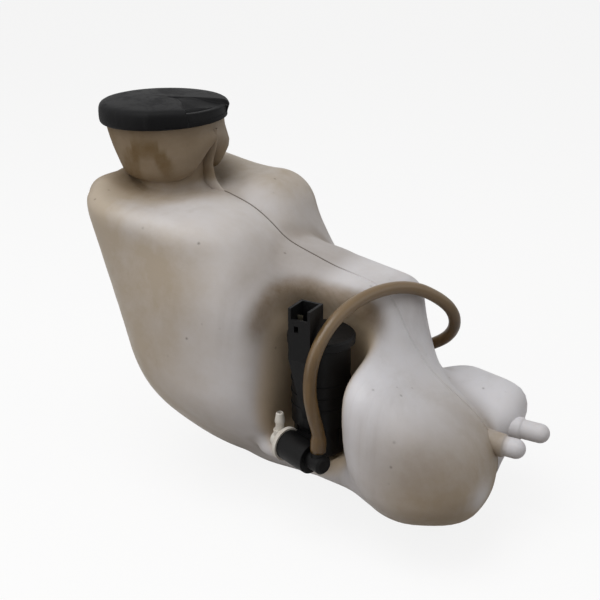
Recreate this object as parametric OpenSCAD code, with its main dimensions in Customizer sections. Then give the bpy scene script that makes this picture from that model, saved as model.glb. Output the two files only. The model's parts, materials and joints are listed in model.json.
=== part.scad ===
// Washer fluid reservoir: a blow-moulded tank with a lift-off filler cap, a twin-outlet
// pump standing in a pocket of its front wall, and the hose from the pump's front outlet.
// Millimetres. X runs along the tank towards its pegs, Y to the back, Z up.
// The tank stands on z = 0 and its mould parts on the plane y = 0.

/* [Tank] */
// Wall of the blown tank
tank_wall = 2.6; // [2.2:0.1:3.4]
// Height of the shoulder beside the filler neck
shoulder_z = 178; // [173:1:184]
// Reach of the upper body in front of the mould parting
body_front = 62; // [56:1:68]
// Reach of the upper body behind the mould parting
body_back = 66; // [60:1:72]
// Length of the upper body
body_long = 102; // [96:1:108]
// Lean of the upper body's end wall, mm sideways per mm of height
body_lean = 0.33; // [0.26:0.01:0.4]
// Height of the back hump
hump_z = 172; // [166:1:178]
// Height of the saddle between the body and the lobes
saddle_z = 136; // [132:1:140]
// Reach of the near lobe in front of the mould parting
lobe_front = 68; // [62:1:74]
// End of the lobes, along X
lobe_end = 121; // [116:1:126]
// Height of the far lobe
far_lobe_z = 71.5; // [66:0.5:78]

/* [Filler neck] */
// Place of the neck's axis along X
neck_x = -101; // [-106:1:-96]
// Outer radius of the neck
neck_r = 34.5; // [31:0.5:37]
// Height of the neck's rim
neck_z = 216.6; // [212:0.2:222]
// Height of the bulb's underside
bulb_z = 178; // [176:1:184]
// Outer radius of the throat under the bulb
throat_r = 21; // [18:0.5:24]
// Distance of the throat's axis from the neck's axis
throat_shift = 6; // [0:0.5:9]
// Thickness of the web beside the throat
web_t = 4; // [3:0.5:6]

/* [Pegs] */
// Radius of the locating pegs
peg_r = 5.5; // [4.5:0.5:6.5]
// Height of the pegs' axes
peg_z = 52.5; // [48:0.5:56]
// Distance between the two pegs
peg_pitch = 23; // [20:1:26]
// Straight length of the near peg, ahead of its thicker root
near_peg_long = 6; // [5:0.5:10]
// Straight length of the far peg, ahead of its thicker root
far_peg_long = 10; // [6:0.5:13]

/* [Filler cap] */
// Thickness of the cap's top and skirt
cap_t = 2.2; // [1.8:0.1:3]
// Depth of the cap's skirt below its top plate
cap_skirt = 9.5; // [7:0.5:12]
// Crown of the cap's top
cap_crown = 1.6; // [1:0.1:3]
// Width of the finger notch
notch_w = 21; // [16:0.5:26]
// Direction of the finger notch about the neck
notch_turn = -25; // [-60:1:60]

/* [Pump pocket] */
// Place of the pump's axis along X
pump_x = 24; // [20:1:28]
// Place of the pump's axis along Y
pump_y = -36; // [-38:1:-35]
// Width of the pocket
pocket_w = 44; // [42:1:50]
// Height of the seat that the pump stands on
seat_z = 42; // [40:0.5:45]
// Height of the pocket above the seat
pocket_h = 91; // [86:1:96]
// Radius of the hole for the grommet
seat_bore_r = 8; // [7.5:0.1:8.5]

/* [Pump] */
// Radius of the pump's casing
casing_r = 16; // [15:0.5:17]
// Radius of the collar at the casing's top
collar_r = 18.5; // [17.5:0.5:19.5]
// Height of the casing and its collar together
casing_h = 51; // [46:1:52]
// Radius of the pump chamber
chamber_r = 14; // [13:0.5:15]
// Height of the pump chamber's body
chamber_h = 18; // [17:0.5:21]
// Thickness of the inlet cover's plate
cover_t = 4; // [3:0.5:5]
// Radius of the inlet spigot
spigot_r = 5.2; // [4.5:0.1:5.8]
// Length of the inlet spigot below the cover
spigot_h = 11; // [9:0.5:12]
// Width of the connector tower along X
tower_w = 13; // [12:0.5:16]
// Depth of the connector tower along Y
tower_d = 14; // [12:0.5:16]
// Height of the connector tower above the collar
tower_h = 21; // [18:1:24]

/* [Motor] */
// Radius of the steel motor can
can_r = 12.8; // [12:0.1:13]
// Sheet thickness of the motor can
can_t = 0.8; // [0.6:0.1:1.2]
// Length of the motor can
can_h = 40; // [38:0.5:41]
// Radius of the motor shaft
shaft_r = 1.5; // [1.2:0.05:1.8]
// Radius of the armature
armature_r = 9; // [8:0.1:9.4]
// Length of the armature's iron
armature_h = 20; // [16:0.5:22]
// Radius of the impeller
impeller_r = 9; // [8:0.1:9.4]

/* [Valve] */
// Radius of the valve drum
drum_r = 8.5; // [8:0.1:9]
// Length of the valve drum
drum_l = 20; // [18:0.5:22]
// Direction of the valve's axis, about Z
valve_turn = -20; // [-26:1:-10]
// Radius of the outlet nozzles
nozzle_r = 2.4; // [2.1:0.1:2.8]
// Height of the rear nozzle's tip above the valve's axis
rear_nozzle_h = 17; // [14:0.5:20]
// Height of the front barb's tip above the valve's axis
front_barb_h = 17; // [14:0.5:20]
// Travel of the diaphragm each way
valve_travel = 0.8; // [0.4:0.1:1]

/* [Hose] */
// Outer diameter of the hose
hose_d = 7; // [6.5:0.1:7.5]
// Bore of the hose
hose_bore = 5.2; // [4.8:0.1:5.6]

/* [Clearances] */
// Gap between pieces that are seated in each other
snug = 0.05; // [0.03:0.01:0.1]
// Gap between pieces that move against each other
play = 0.35; // [0.3:0.05:0.5]
// Radial gap of the shaft in its bushes
shaft_gap = 0.04; // [0.02:0.01:0.08]

/* [Hidden] */
$fn = 48;
eps = 0.01;

throat_x = neck_x + throat_shift;

// Heights of the pump's pieces, from the seat up.
seat_t = 5;
seat_proud = 1.2;
lip_t = 2;
flange_h = 2.4;
flange_r = seat_bore_r + 1;
cover_z = seat_z + lip_t + 2 * snug;
chamber_z = cover_z + cover_t + snug;
rotor_room = 9;
deck_t = 3;
can_z = chamber_z + rotor_room + deck_t + snug;
casing_z = chamber_z + chamber_h - 4;
casing_top = casing_z + casing_h;
collar_h = 6;
plate_z = can_z + can_h + snug;
plate_t = 3;
shaft_top = plate_z + plate_t + 1;

// The valve lies in front of the chamber, its axis level with the impeller.
valve_mid = [pump_x - 1, pump_y - chamber_r - drum_r - snug, chamber_z + 3];
rear_face = -drum_l / 2 + 1;
rear_rim_r = drum_r + 1;
rear_rim_t = 4;
front_face = drum_l / 2 + 1;
barb_x = front_face + 5;

// Route of the hose's centreline, from the front barb over the saddle to behind the tank.
hose_route = [[38, -64, 58], [38, -64, 68], [36.6, -66.5, 79.5], [34.8, -67.5, 92], [33.9, -64.5, 105],
    [34.8, -57.5, 116.5], [36.7, -46.5, 125], [39.8, -32, 130.2], [44, -15.5, 132], [50, 1, 131],
    [56.8, 14.5, 127], [63.2, 24.5, 120.5], [68.3, 31.5, 113.5], [70.5, 36.2, 106.5], [70, 40, 99.5],
    [67.3, 43.2, 93], [62.7, 45.4, 87], [56.3, 46.5, 82], [48, 47.5, 77], [39, 49, 72], [30, 51.5, 67.5]];

// Smooth union and smooth intersection of two distances, blended over k.
function join(a, b, k) = min(a, b) - pow(max(k - abs(a - b), 0), 2) / (4 * k);
function meet(a, b, k) = max(a, b) + pow(max(k - abs(a - b), 0), 2) / (4 * k);
// Distance to a flat face through c with outward normal n.
function face(p, n, c) = (p - c) * n / norm(n);
// Distance to a round-edged box: middle c, half sizes h, edge radius r, leaning or turned about Y.
function pod(p, c, h, r, lean = 0, turn = 0) =
    let (z0 = p.z - c.z,
        x0 = p.x - c.x + lean * z0,
        x = x0 * cos(turn) - z0 * sin(turn),
        z = x0 * sin(turn) + z0 * cos(turn),
        q = [abs(x) - h.x + r, abs(p.y - c.y) - h.y + r, abs(z) - h.z + r])
    norm([max(q.x, 0), max(q.y, 0), max(q.z, 0)]) + min(max(q), 0) - r;

// The upper body: a leaning box and a deeper front box, sloped off to the saddle, rounded off below
// its end and its front, with a hump behind and a dish round the throat.
body_mid_y = (body_back - body_front) / 2;
body_half_y = (body_back + body_front) / 2;
function upper_body(p) =
    let (leaning = pod(p, [-11 - body_long / 2, body_mid_y, 110],
            [body_long / 2, body_half_y, 84], 36, body_lean),
        shoulder = meet(leaning, face(p, [0.2, -0.08, 0.98], [-95, -10, shoulder_z]), 12),
        deep = pod(p, [-34, body_mid_y + 1, 72], [44, body_half_y - 3, 78], 36, 0.1),
        both = meet(join(shoulder, deep, 30), face(p, [0.54, 0.3, 0.79], [-10, 0, 151]), 24),
        dish = pod(p, [throat_x + 3, -14, shoulder_z + 20], [30, 48, 26], 24),
        hump = pod(p, [-64, body_back - 29, hump_z - 30], [38, 30, 30], 22, 0.1, -6),
        end_round = meet(both, face(p, [-0.32, -0.68, -0.66], [-97, 14.5, -1.5]), 14),
        front_round = meet(end_round, face(p, [-0.01, -0.575, -0.82], [-29, -2.3, 0.8]), 12))
    meet(join(front_round, hump, 14), -dish, 16);
// The lobes at the low end: the near one slopes down to its peg, the far one is set behind a valley.
lobe_root = 24;
lobe_mid_y = (lobe_root - lobe_front) / 2;
lobe_half_y = (lobe_root + lobe_front) / 2;
function lobes(p) =
    let (near = meet(pod(p, [80, lobe_mid_y, 60], [40, lobe_half_y, 64], 32, 0, -8),
            face(p, [0.5, 0.14, 0.86], [97, 0, 72]), 30),
        far = pod(p, [90, 35, far_lobe_z - 38], [33, 24, 38], 20, 0, 9),
        ended = meet(join(near, far, 10), face(p, [0.85, 0.29, -0.43], [lobe_end - 1, 0, 26]), 18),
        front_round = meet(ended, face(p, [0.09, -0.56, -0.82], [68, -21, -1]), 10))
    meet(front_round, face(p, [-0.62, -0.4, -0.67], [58, -47, 27]), 16);
// The waist between the body and the lobes, with its saddle and its end wall.
function waist(p) =
    let (block = pod(p, [18, 6, saddle_z - 67], [41, 28, 76], 22, 0, 8),
        saddle = meet(block, face(p, [0.2, -0.04, 0.97], [19, 0, saddle_z]), 12))
    meet(saddle, face(p, [0.92, -0.34, 0.2], [53, 0, 112]), 16);
// The whole blown form: the waist, the pump's shelf and the heel blend the body into the lobes.
function skin(p) =
    let (shelf = meet(pod(p, [30, pump_y + 18, seat_z - 20], [40, 33.5, 26], 10),
            face(p, [-0.1, -0.47, -0.875], [22, -20, 16]), 4),
        heel = pod(p, [40, 30, 28], [60, 28, 34], 22),
        ridge = join(waist(p), lobes(p), 30),
        mass = join(join(join(upper_body(p), ridge, 18), shelf, 8), heel, 14),
        pocket = meet(pod(p, [pump_x - 1, pump_y - 23, seat_z - seat_proud + pocket_h / 2],
                [pocket_w / 2, 46, pocket_h / 2], 14),
            face(p, [0, 0.6, 0.8], [pump_x, pump_y + 23, seat_z + 72]), 14))
    meet(meet(mass, -pocket, 10), -p.z - 0.6, 4);

// Rows of the skin: stations along X, close together at the pocket's walls, with a fan at each end.
fan = [78, 65, 52, 39, 26, 13];
low_x = -90;
high_x = 80;
stations = concat([for (x = [low_x:9:-9]) x], [-5, -1, 2, 5, 8, 12, 17, 23, 29, 34, 38, 41, 44],
    [for (x = [47:5:67]) x], [73, high_x]);
rows = concat([for (a = fan) [low_x, -a]], [for (x = stations) [x, 0]],
    [for (i = [len(fan) - 1:-1:0]) [high_x, fan[i]]]);
outer_columns = 60;
inner_columns = 36;
function spine(x) = [x, lookup(x, [[low_x, 4], [20, 6], [high_x, 6]]),
    lookup(x, [[low_x, 116], [-20, 66], [24, 34], [high_x, 36]])];
function spread(x, a) = [0, 62 * cos(a),
    sin(a) * (sin(a) > 0 ? lookup(x, [[low_x, 60], [20, 100], [60, 70], [high_x, 40]])
        : lookup(x, [[low_x, 70], [-20, 60], [20, 34], [high_x, 36]]))];
// Where the ray from o along d meets the skin sunk by depth, halving the interval n times.
function reach(o, d, depth, lo, hi, n) =
    let (m = (lo + hi) / 2)
    n == 0 ? o + m * d
        : skin(o + m * d) > -depth ? reach(o, d, depth, lo, m, n - 1)
        : reach(o, d, depth, m, hi, n - 1);
function skin_row(row, depth, columns) =
    let (o = spine(row[0]))
    [for (i = [0:columns - 1])
        let (d = cos(row[1]) * spread(row[0], 360 * i / columns) + [70 * sin(row[1]), 0, 0])
        reach(o, d, depth, 0, 2.2, 15)];
module skin_solid(depth, columns) {
    ends = [reach(spine(low_x), [-70, 0, 0], depth, 0, 2.2, 15),
        reach(spine(high_x), [70, 0, 0], depth, 0, 2.2, 15)];
    points = concat([ends[0]], [for (row = rows) each skin_row(row, depth, columns)], [ends[1]]);
    last = len(points) - 1;
    n = columns;
    faces = concat(
        [for (i = [0:n - 1]) [0, 1 + i, 1 + (i + 1) % n]],
        [for (r = [0:len(rows) - 2], i = [0:n - 1])
            let (a = 1 + r * n + i, b = 1 + r * n + (i + 1) % n)
            each [[a, a + n, b], [b, a + n, b + n]]],
        [for (i = [0:n - 1]) [last, last - n + (i + 1) % n, last - n + i]]);
    polyhedron(points, faces);
}

// Domed peg along X. Its thicker root starts inside the lobe and ends in a flat face at face_x.
peg_root = 24;
peg_step = 1;
module peg(y, face_x, long) {
    root_r = peg_r + peg_step;
    translate([face_x - peg_root, y, peg_z])
        rotate([0, 90, 0])
            rotate_extrude()
                polygon(concat([[0, 0], [root_r, 0], [root_r, peg_root], [peg_r, peg_root]],
                    [for (a = [0:15:75]) [peg_r * cos(a), peg_root + long + peg_r * sin(a)]],
                    [[0, peg_root + long + peg_r]]));
}

bead_r = neck_r + 1;
bulb_round = 12;
bead_z = neck_z - 5;
// Half profile of the bulb above the throat, shrunk by t.
function bulb_profile(t) = concat([[0, bulb_z + t]],
    [for (a = [-90:15:0]) [neck_r - bulb_round + (bulb_round - t) * cos(a),
        bulb_z + bulb_round + (bulb_round - t) * sin(a)]]);
module neck_bulb(grow) {
    translate([neck_x, 0, 0])
        rotate_extrude($fn = 96)
            polygon(concat(bulb_profile(-grow), [[neck_r, bead_z], [bead_r, bead_z + 1.5],
                [bead_r, bead_z + 2.5], [neck_r, bead_z + 4], [neck_r, neck_z], [0, neck_z]]));
}
module neck_hollow() {
    translate([neck_x, 0, 0])
        rotate_extrude($fn = 96)
            polygon(concat(bulb_profile(tank_wall), [[neck_r - tank_wall, neck_z + 1], [0, neck_z + 1]]));
}
// Collar that runs out into the shoulder in a concave flare. The stepped throat stands in it.
flare_z = shoulder_z - 10;
flare_r = min(5, bulb_z - flare_z - 2);
collar_z = flare_z + flare_r;
spigot_step = 0.8;
module collar() {
    translate([throat_x, 0, 0])
        rotate_extrude($fn = 96)
            polygon(concat([[0, flare_z - 8], [throat_r, flare_z - 8], [throat_r, flare_z - 1]],
                [for (a = [270:-15:180]) [throat_r + flare_r + flare_r * cos(a),
                    collar_z + flare_r * sin(a)]],
                [[0, collar_z]]));
}
module throat(grow, low, high) {
    step_r = throat_r - spigot_step + grow;
    step_z = collar_z + snug - grow;
    translate([throat_x, 0, 0])
        rotate_extrude($fn = 96)
            polygon([[0, low], [step_r, low], [step_r, step_z], [throat_r + grow, step_z],
                [throat_r + grow, high], [0, high]]);
}
module throat_hollow() {
    translate([throat_x, 0, shoulder_z - 30])
        cylinder(r = throat_r - tank_wall, h = bulb_z + 2 * tank_wall - shoulder_z + 30);
}
// Web on the parting plane: its foot runs down the throat to the shoulder, its head up under the bulb.
web_x = throat_x + throat_r;
module neck_web(profile) {
    translate([0, web_t / 2, 0])
        rotate([90, 0, 0])
            linear_extrude(web_t)
                polygon(profile);
}
web_foot = [[web_x - 6, shoulder_z - 18], [web_x + 12, shoulder_z - 18], [web_x + 6, shoulder_z - 6],
    [web_x + 4, bulb_z], [web_x - 6, bulb_z]];
web_head = [[web_x - 6, bulb_z], [web_x + 4, bulb_z], [web_x + 3, bulb_z + 4], [web_x, bulb_z + 14],
    [web_x - 6, bulb_z + 14]];

module tank() {
    boss_r = seat_bore_r + 5;
    color([0.78, 0.75, 0.7])
        difference() {
            union() {
                difference() {
                    union() {
                        skin_solid(0, outer_columns);
                        collar();
                        neck_web(web_foot);
                        peg(0, lobe_end - 2.4, near_peg_long);
                        peg(peg_pitch, lobe_end - 0.5, far_peg_long);
                    }
                    skin_solid(tank_wall, inner_columns);
                }
                translate([pump_x, pump_y, seat_z - seat_t]) cylinder(r = boss_r, h = seat_t);
            }
            throat(snug, shoulder_z - 30, bulb_z + 1);
            neck_bulb(snug);
            translate([pump_x, pump_y, seat_z - seat_t - 1])
                cylinder(r = seat_bore_r, h = seat_t + 2);
            // Room for the grommet's lower flange, and the flat that the tank stands on.
            translate([pump_x, pump_y, seat_z - seat_t - flange_h - play])
                cylinder(r = flange_r + play, h = flange_h + play + eps);
            translate([-400, -400, -20]) cube([800, 800, 20]);
        }
}

// Bulb of the neck with the throat under it, which stands in the shoulder's collar.
module filler_neck() {
    color([0.78, 0.75, 0.7])
        difference() {
            union() {
                neck_bulb(0);
                throat(0, flare_z - 1, bulb_z + tank_wall / 2);
                neck_web(web_head);
            }
            throat_hollow();
            neck_hollow();
        }
}

// Lift-off cap: crowned top, skirt over the neck's bead, plug ring and a sloped finger notch.
cap_in_r = bead_r + play;
cap_r = cap_in_r + cap_t;
cap_z = neck_z + play;
module filler_cap() {
    plug_r = neck_r - tank_wall - play;
    plug_h = 5;
    edge_r = 3;
    color([0.12, 0.12, 0.13])
        translate([neck_x, 0, cap_z])
            difference() {
                rotate_extrude($fn = 96)
                    polygon(concat(
                        [[0, 0], [plug_r - 1.6, 0], [plug_r - 1.6, -plug_h], [plug_r, -plug_h],
                            [plug_r, 0], [cap_in_r, 0], [cap_in_r, -cap_skirt], [cap_r, -cap_skirt]],
                        [for (a = [0:15:75]) [cap_r - edge_r + edge_r * cos(a),
                            cap_t - edge_r + edge_r * sin(a)]],
                        [[cap_r * 0.6, cap_t + cap_crown * 0.7], [cap_r * 0.3, cap_t + cap_crown * 0.95],
                            [0, cap_t + cap_crown]]));
                rotate([0, 0, notch_turn]) {
                    // Thumb slope that falls from the middle of the cap to the tongue's lip.
                    translate([6, -notch_w / 2, cap_t + cap_crown])
                        rotate([0, 6, 0])
                            cube([cap_r, notch_w, 10]);
                    // Undercut below the tongue, let into the skirt's outer face.
                    translate([cap_r - 0.9, -notch_w / 2, -cap_skirt - 1])
                        cube([cap_r, notch_w, cap_skirt - 0.6]);
                }
            }
}

// Rubber grommet: a collar that grips the seat, with the pump's spigot pushed through.
module pump_grommet() {
    neck = seat_bore_r - snug;
    color([0.09, 0.09, 0.09])
        translate([pump_x, pump_y, seat_z])
            rotate_extrude($fn = 64)
                polygon([[spigot_r + snug, -seat_t - flange_h], [neck + 0.2, -seat_t - flange_h],
                    [flange_r, -seat_t - 1], [flange_r, -seat_t - snug], [neck, -seat_t - snug],
                    [neck, snug], [neck + 3, snug], [neck + 3, lip_t - 0.6], [neck + 2.4, lip_t],
                    [spigot_r + snug, lip_t]]);
}

spigot_bore_r = spigot_r - 1.6;
spigot_low = cover_z - spigot_h;
// Grating clipped under the inlet spigot.
module inlet_strainer() {
    ring_t = 1;
    bar = 0.6;
    pitch = 1.6;
    color([0.85, 0.85, 0.82])
        translate([pump_x, pump_y, spigot_low - snug - ring_t]) {
            difference() {
                cylinder(r = spigot_r, h = ring_t);
                translate([0, 0, -1]) cylinder(r = spigot_bore_r - 0.4, h = ring_t + 2);
            }
            intersection() {
                cylinder(r = spigot_bore_r, h = ring_t);
                union()
                    for (turn = [0, 90], i = [-1:1])
                        rotate([0, 0, turn])
                            translate([-spigot_r, i * pitch - bar / 2, 0])
                                cube([2 * spigot_r, bar, ring_t]);
            }
        }
}

// Room that the valve's drum and its rear rim take from the pieces behind them.
module valve_room() {
    valve_frame()
        rotate([0, 90, 0]) {
            cylinder(r = drum_r + snug, h = 4 * drum_l, center = true);
            translate([0, 0, rear_face - rear_rim_t - drum_l])
                cylinder(r = rear_rim_r + snug, h = rear_rim_t + drum_l);
        }
}

// Bottom plate of the pump with the inlet spigot.
module inlet_cover() {
    color([0.1, 0.1, 0.11])
        difference() {
            translate([pump_x, pump_y, cover_z])
                rotate_extrude($fn = 64)
                    polygon([[spigot_bore_r, -spigot_h], [spigot_r - 0.6, -spigot_h],
                        [spigot_r, -spigot_h + 1.2], [spigot_r, 0], [chamber_r - 0.6, 0], [chamber_r, 0.6],
                        [chamber_r, cover_t], [spigot_bore_r, cover_t]]);
            valve_room();
        }
}

seal_r = 4;
// Impeller housing with its deck under the motor, grip ribs and the saddle of the valve.
module pump_chamber() {
    room_r = impeller_r + 0.8;
    ribs = 10;
    color([0.11, 0.11, 0.12])
        difference() {
            union() {
                translate([pump_x, pump_y, chamber_z]) {
                    cylinder(r = chamber_r, h = chamber_h - 4 - snug);
                    cylinder(r = can_r + 0.7, h = chamber_h);
                    for (i = [0:ribs - 1])
                        rotate([0, 0, 20 + 360 * i / ribs])
                            translate([chamber_r - 1, -0.7, 1])
                                cube([1.7, 1.4, chamber_h - 7]);
                }
                translate([valve_mid.x - 6, valve_mid.y, chamber_z])
                    cube([12, drum_r + 4, 10]);
            }
            translate([pump_x, pump_y, chamber_z - 1]) cylinder(r = room_r, h = rotor_room + 1);
            translate([pump_x, pump_y, chamber_z]) {
                cylinder(r = shaft_r + shaft_gap, h = chamber_h);
                translate([0, 0, rotor_room - eps]) cylinder(r = seal_r, h = deck_t - 0.6);
                translate([0, 0, rotor_room + deck_t]) cylinder(r = can_r + snug, h = chamber_h);
            }
            // Port from the impeller's room into the drum.
            translate([valve_mid.x, pump_y, valve_mid.z])
                rotate([90, 0, 0]) cylinder(r = 2.2, h = chamber_r + drum_r + 4);
            valve_room();
        }
}

module impeller() {
    vanes = 6;
    disc_t = 1.4;
    top = chamber_z + rotor_room - play;
    low = chamber_z + play;
    hub_r = shaft_r + 1.6;
    color([0.88, 0.87, 0.83])
        translate([pump_x, pump_y, 0])
            difference() {
                union() {
                    translate([0, 0, top - disc_t]) cylinder(r = impeller_r, h = disc_t);
                    translate([0, 0, low + 1]) cylinder(r = hub_r, h = top - low - 1);
                    for (i = [0:vanes - 1])
                        rotate([0, 0, 360 * i / vanes])
                            translate([hub_r - 0.4, -0.6, low])
                                cube([impeller_r - hub_r, 1.2, top - low - 0.5]);
                }
                translate([0, 0, low - 1]) cylinder(r = shaft_r + eps, h = rotor_room + 2);
            }
}

module shaft_seal() {
    color([0.08, 0.08, 0.08])
        translate([pump_x, pump_y, chamber_z + rotor_room + snug])
            rotate_extrude()
                polygon([[shaft_r + shaft_gap, 0.8], [seal_r - 1.4, 0], [seal_r - snug, 0],
                    [seal_r - snug, deck_t - 0.7], [shaft_r + shaft_gap, deck_t - 0.7]]);
}

bush_r = 3;
bush_h = 3;
// Deep-drawn steel cup, open at the top, with a pocket for the lower bush.
module motor_can() {
    color([0.62, 0.62, 0.6])
        translate([pump_x, pump_y, can_z])
            difference() {
                cylinder(r = can_r, h = can_h, $fn = 64);
                translate([0, 0, can_t]) cylinder(r = can_r - can_t, h = can_h, $fn = 64);
                translate([0, 0, -1]) cylinder(r = shaft_r + 1, h = 3);
            }
}

module bush(z) {
    color([0.65, 0.45, 0.2])
        translate([pump_x, pump_y, z])
            difference() {
                cylinder(r = bush_r, h = bush_h);
                translate([0, 0, -1]) cylinder(r = shaft_r + shaft_gap, h = bush_h + 2);
            }
}
module lower_bush() bush(can_z + can_t + snug);
module upper_bush() bush(plate_z + plate_t - bush_h);

iron_z = can_z + 8;
// Two curved magnets bonded inside the can.
module magnets() {
    outer = can_r - can_t - snug;
    inner = armature_r + 0.5;
    color([0.25, 0.24, 0.24])
        translate([pump_x, pump_y, iron_z - 1])
            for (turn = [0, 180])
                rotate([0, 0, turn - 60])
                    rotate_extrude(angle = 120, $fn = 64)
                        translate([inner, 0]) square([outer - inner, armature_h + 2]);
}

poles = 3;
pole_w = 4;
shoe_t = 1.8;
// Laminated three-pole armature.
module armature() {
    color([0.5, 0.5, 0.52])
        translate([pump_x, pump_y, iron_z])
            linear_extrude(armature_h)
                difference() {
                    union() {
                        circle(r = shaft_r + 2);
                        for (i = [0:poles - 1])
                            rotate(360 * i / poles) {
                                translate([0, -pole_w / 2]) square([armature_r - 1, pole_w]);
                                intersection() {
                                    difference() {
                                        circle(r = armature_r);
                                        circle(r = armature_r - shoe_t);
                                    }
                                    polygon([[0, 0], [20, -22], [20, 22]]);
                                }
                            }
                    }
                    circle(r = shaft_r + eps);
                }
}

// One coil round each pole's web.
module windings() {
    coil_t = 1.3;
    half_w = pole_w / 2 + coil_t;
    inner = shaft_r + 2 + 0.9;
    outer = sqrt(pow(armature_r - shoe_t - 0.15, 2) - pow(half_w, 2));
    over = 2;
    color([0.72, 0.36, 0.16])
        translate([pump_x, pump_y, iron_z])
            for (i = [0:poles - 1])
                rotate([0, 0, 360 * i / poles])
                    difference() {
                        translate([inner, -half_w, -over])
                            cube([outer - inner, 2 * half_w, armature_h + 2 * over]);
                        translate([inner - 1, -pole_w / 2 - snug, -snug])
                            cube([outer - inner + 2, pole_w + 2 * snug, armature_h + 2 * snug]);
                    }
}

module motor_shaft() {
    low = chamber_z + 1.5;
    color([0.75, 0.75, 0.76])
        translate([pump_x, pump_y, low])
            cylinder(r = shaft_r, h = shaft_top - low);
}

commutator_r = 3.6;
commutator_h = 6;
commutator_z = plate_z - 8;
module commutator() {
    color([0.74, 0.42, 0.22])
        translate([pump_x, pump_y, commutator_z])
            difference() {
                cylinder(r = commutator_r, h = commutator_h);
                translate([0, 0, -1]) cylinder(r = shaft_r + eps, h = commutator_h + 2);
                for (i = [0:poles - 1])
                    rotate([0, 0, 360 * i / poles])
                        translate([commutator_r - 0.8, -0.2, 1]) cube([2, 0.4, commutator_h]);
            }
}

brush_w = 3;
brush_l = 4;
brush_gap = 0.3;
module brushes() {
    color([0.2, 0.2, 0.2])
        translate([pump_x, pump_y, commutator_z + 1.5])
            for (turn = [0, 180])
                rotate([0, 0, turn])
                    translate([commutator_r + brush_gap, -brush_w / 2, 0]) cube([brush_l, brush_w, brush_w]);
}

// Moulded plate that closes the can and carries the brushes and the upper bush.
module brush_plate() {
    box_x = commutator_r + brush_gap + 0.6;
    color([0.3, 0.28, 0.24])
        translate([pump_x, pump_y, 0])
            difference() {
                union() {
                    translate([0, 0, plate_z]) cylinder(r = can_r, h = plate_t);
                    for (turn = [0, 180])
                        rotate([0, 0, turn])
                            translate([box_x, -brush_w / 2 - 1.2, commutator_z + 0.6])
                                cube([brush_l + 0.6, brush_w + 2.4, plate_z - commutator_z]);
                }
                for (turn = [0, 180])
                    rotate([0, 0, turn])
                        translate([0, -brush_w / 2 - snug, commutator_z + 1.5 - snug])
                            cube([commutator_r + brush_gap + brush_l + snug, brush_w + 2 * snug,
                                brush_w + 2 * snug]);
                translate([0, 0, plate_z + plate_t - bush_h - snug])
                    cylinder(r = bush_r + snug, h = bush_h + 1);
                translate([0, 0, plate_z - 1]) cylinder(r = shaft_r + 0.6, h = plate_t + 2);
            }
}

tower_mid = [pump_x, pump_y - casing_r - 1, casing_top + tower_h];
tower_wall = 1.6;
socket_depth = 15;
blade_w = 2.8;
blade_t = 0.8;
blade_pitch = 6;
// Casing over the motor: collar, grip rings, and the connector tower with its tapering shroud.
module pump_casing() {
    well = can_r + snug;
    socket = [tower_w - 2 * tower_wall, tower_d - 2 * tower_wall];
    color([0.1, 0.1, 0.11])
        difference() {
            union() {
                translate([pump_x, pump_y, casing_z]) {
                    cylinder(r = casing_r, h = casing_h, $fn = 64);
                    for (z = [10, 17, 24])
                        translate([0, 0, z]) cylinder(r = casing_r + 0.4, h = 1, $fn = 64);
                    translate([0, 0, casing_h - collar_h])
                        rotate_extrude($fn = 64)
                            polygon([[0, 0], [casing_r, 0], [collar_r, 1.5], [collar_r, collar_h - 1],
                                [collar_r - 1, collar_h], [0, collar_h]]);
                }
                hull() {
                    translate([tower_mid.x - tower_w / 2, tower_mid.y - tower_d / 2, casing_top - 8])
                        cube([tower_w, tower_d, 8 + tower_h]);
                    translate([tower_mid.x - 2, pump_y - casing_r - 0.5, casing_z + 6])
                        cube([4, 4, 4]);
                }
            }
            translate([pump_x, pump_y, casing_z - 1])
                cylinder(r = can_r + 0.7 + snug, h = 1 + 4 + snug, $fn = 64);
            translate([pump_x, pump_y, casing_z]) cylinder(r = well, h = casing_h - 3, $fn = 64);
            translate([tower_mid.x - socket.x / 2, tower_mid.y - socket.y / 2,
                tower_mid.z - socket_depth])
                cube([socket.x, socket.y, socket_depth + 1]);
            // Low front lip and latch window of the socket.
            translate([tower_mid.x - socket.x / 2, tower_mid.y - tower_d, tower_mid.z - 6])
                cube([socket.x, tower_d, 10]);
            translate([tower_mid.x - 3, tower_mid.y - tower_d, tower_mid.z - 13])
                cube([2.5, tower_d, 3.5]);
            terminal_pair(snug);
        }
}

// Two bent blades from the socket's floor into the casing.
module terminal_pair(grow) {
    foot_z = plate_z + plate_t + 1;
    for (side = [-1, 1])
        translate([tower_mid.x + side * blade_pitch / 2 - blade_w / 2 - grow, 0, 0]) {
            translate([0, tower_mid.y - blade_t / 2 - grow, foot_z - grow])
                cube([blade_w + 2 * grow, blade_t + 2 * grow, tower_mid.z - 6 - foot_z + grow]);
            translate([0, tower_mid.y - blade_t / 2 - grow, foot_z - grow])
                cube([blade_w + 2 * grow, casing_r - can_r + 8, blade_t + 2 * grow]);
        }
}
module terminals() color([0.78, 0.74, 0.62]) terminal_pair(0);

// The valve's own frame: x runs along the drum, from the rear outlet to the front one.
module valve_frame() translate(valve_mid) rotate([0, 0, valve_turn]) children();

// Upright hose nozzle with one barb, bored right through.
module nozzle(h) {
    rotate_extrude()
        polygon([[0, 0], [nozzle_r, 0], [nozzle_r, h - 6], [nozzle_r + 0.45, h - 6],
            [nozzle_r + 0.45, h - 5], [nozzle_r - 0.3, h - 0.6], [nozzle_r - 0.8, h], [0, h]]);
}
nozzle_bore_r = nozzle_r - 1;
drum_wall = 1.6;
elbow_r = 5.2;
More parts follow.
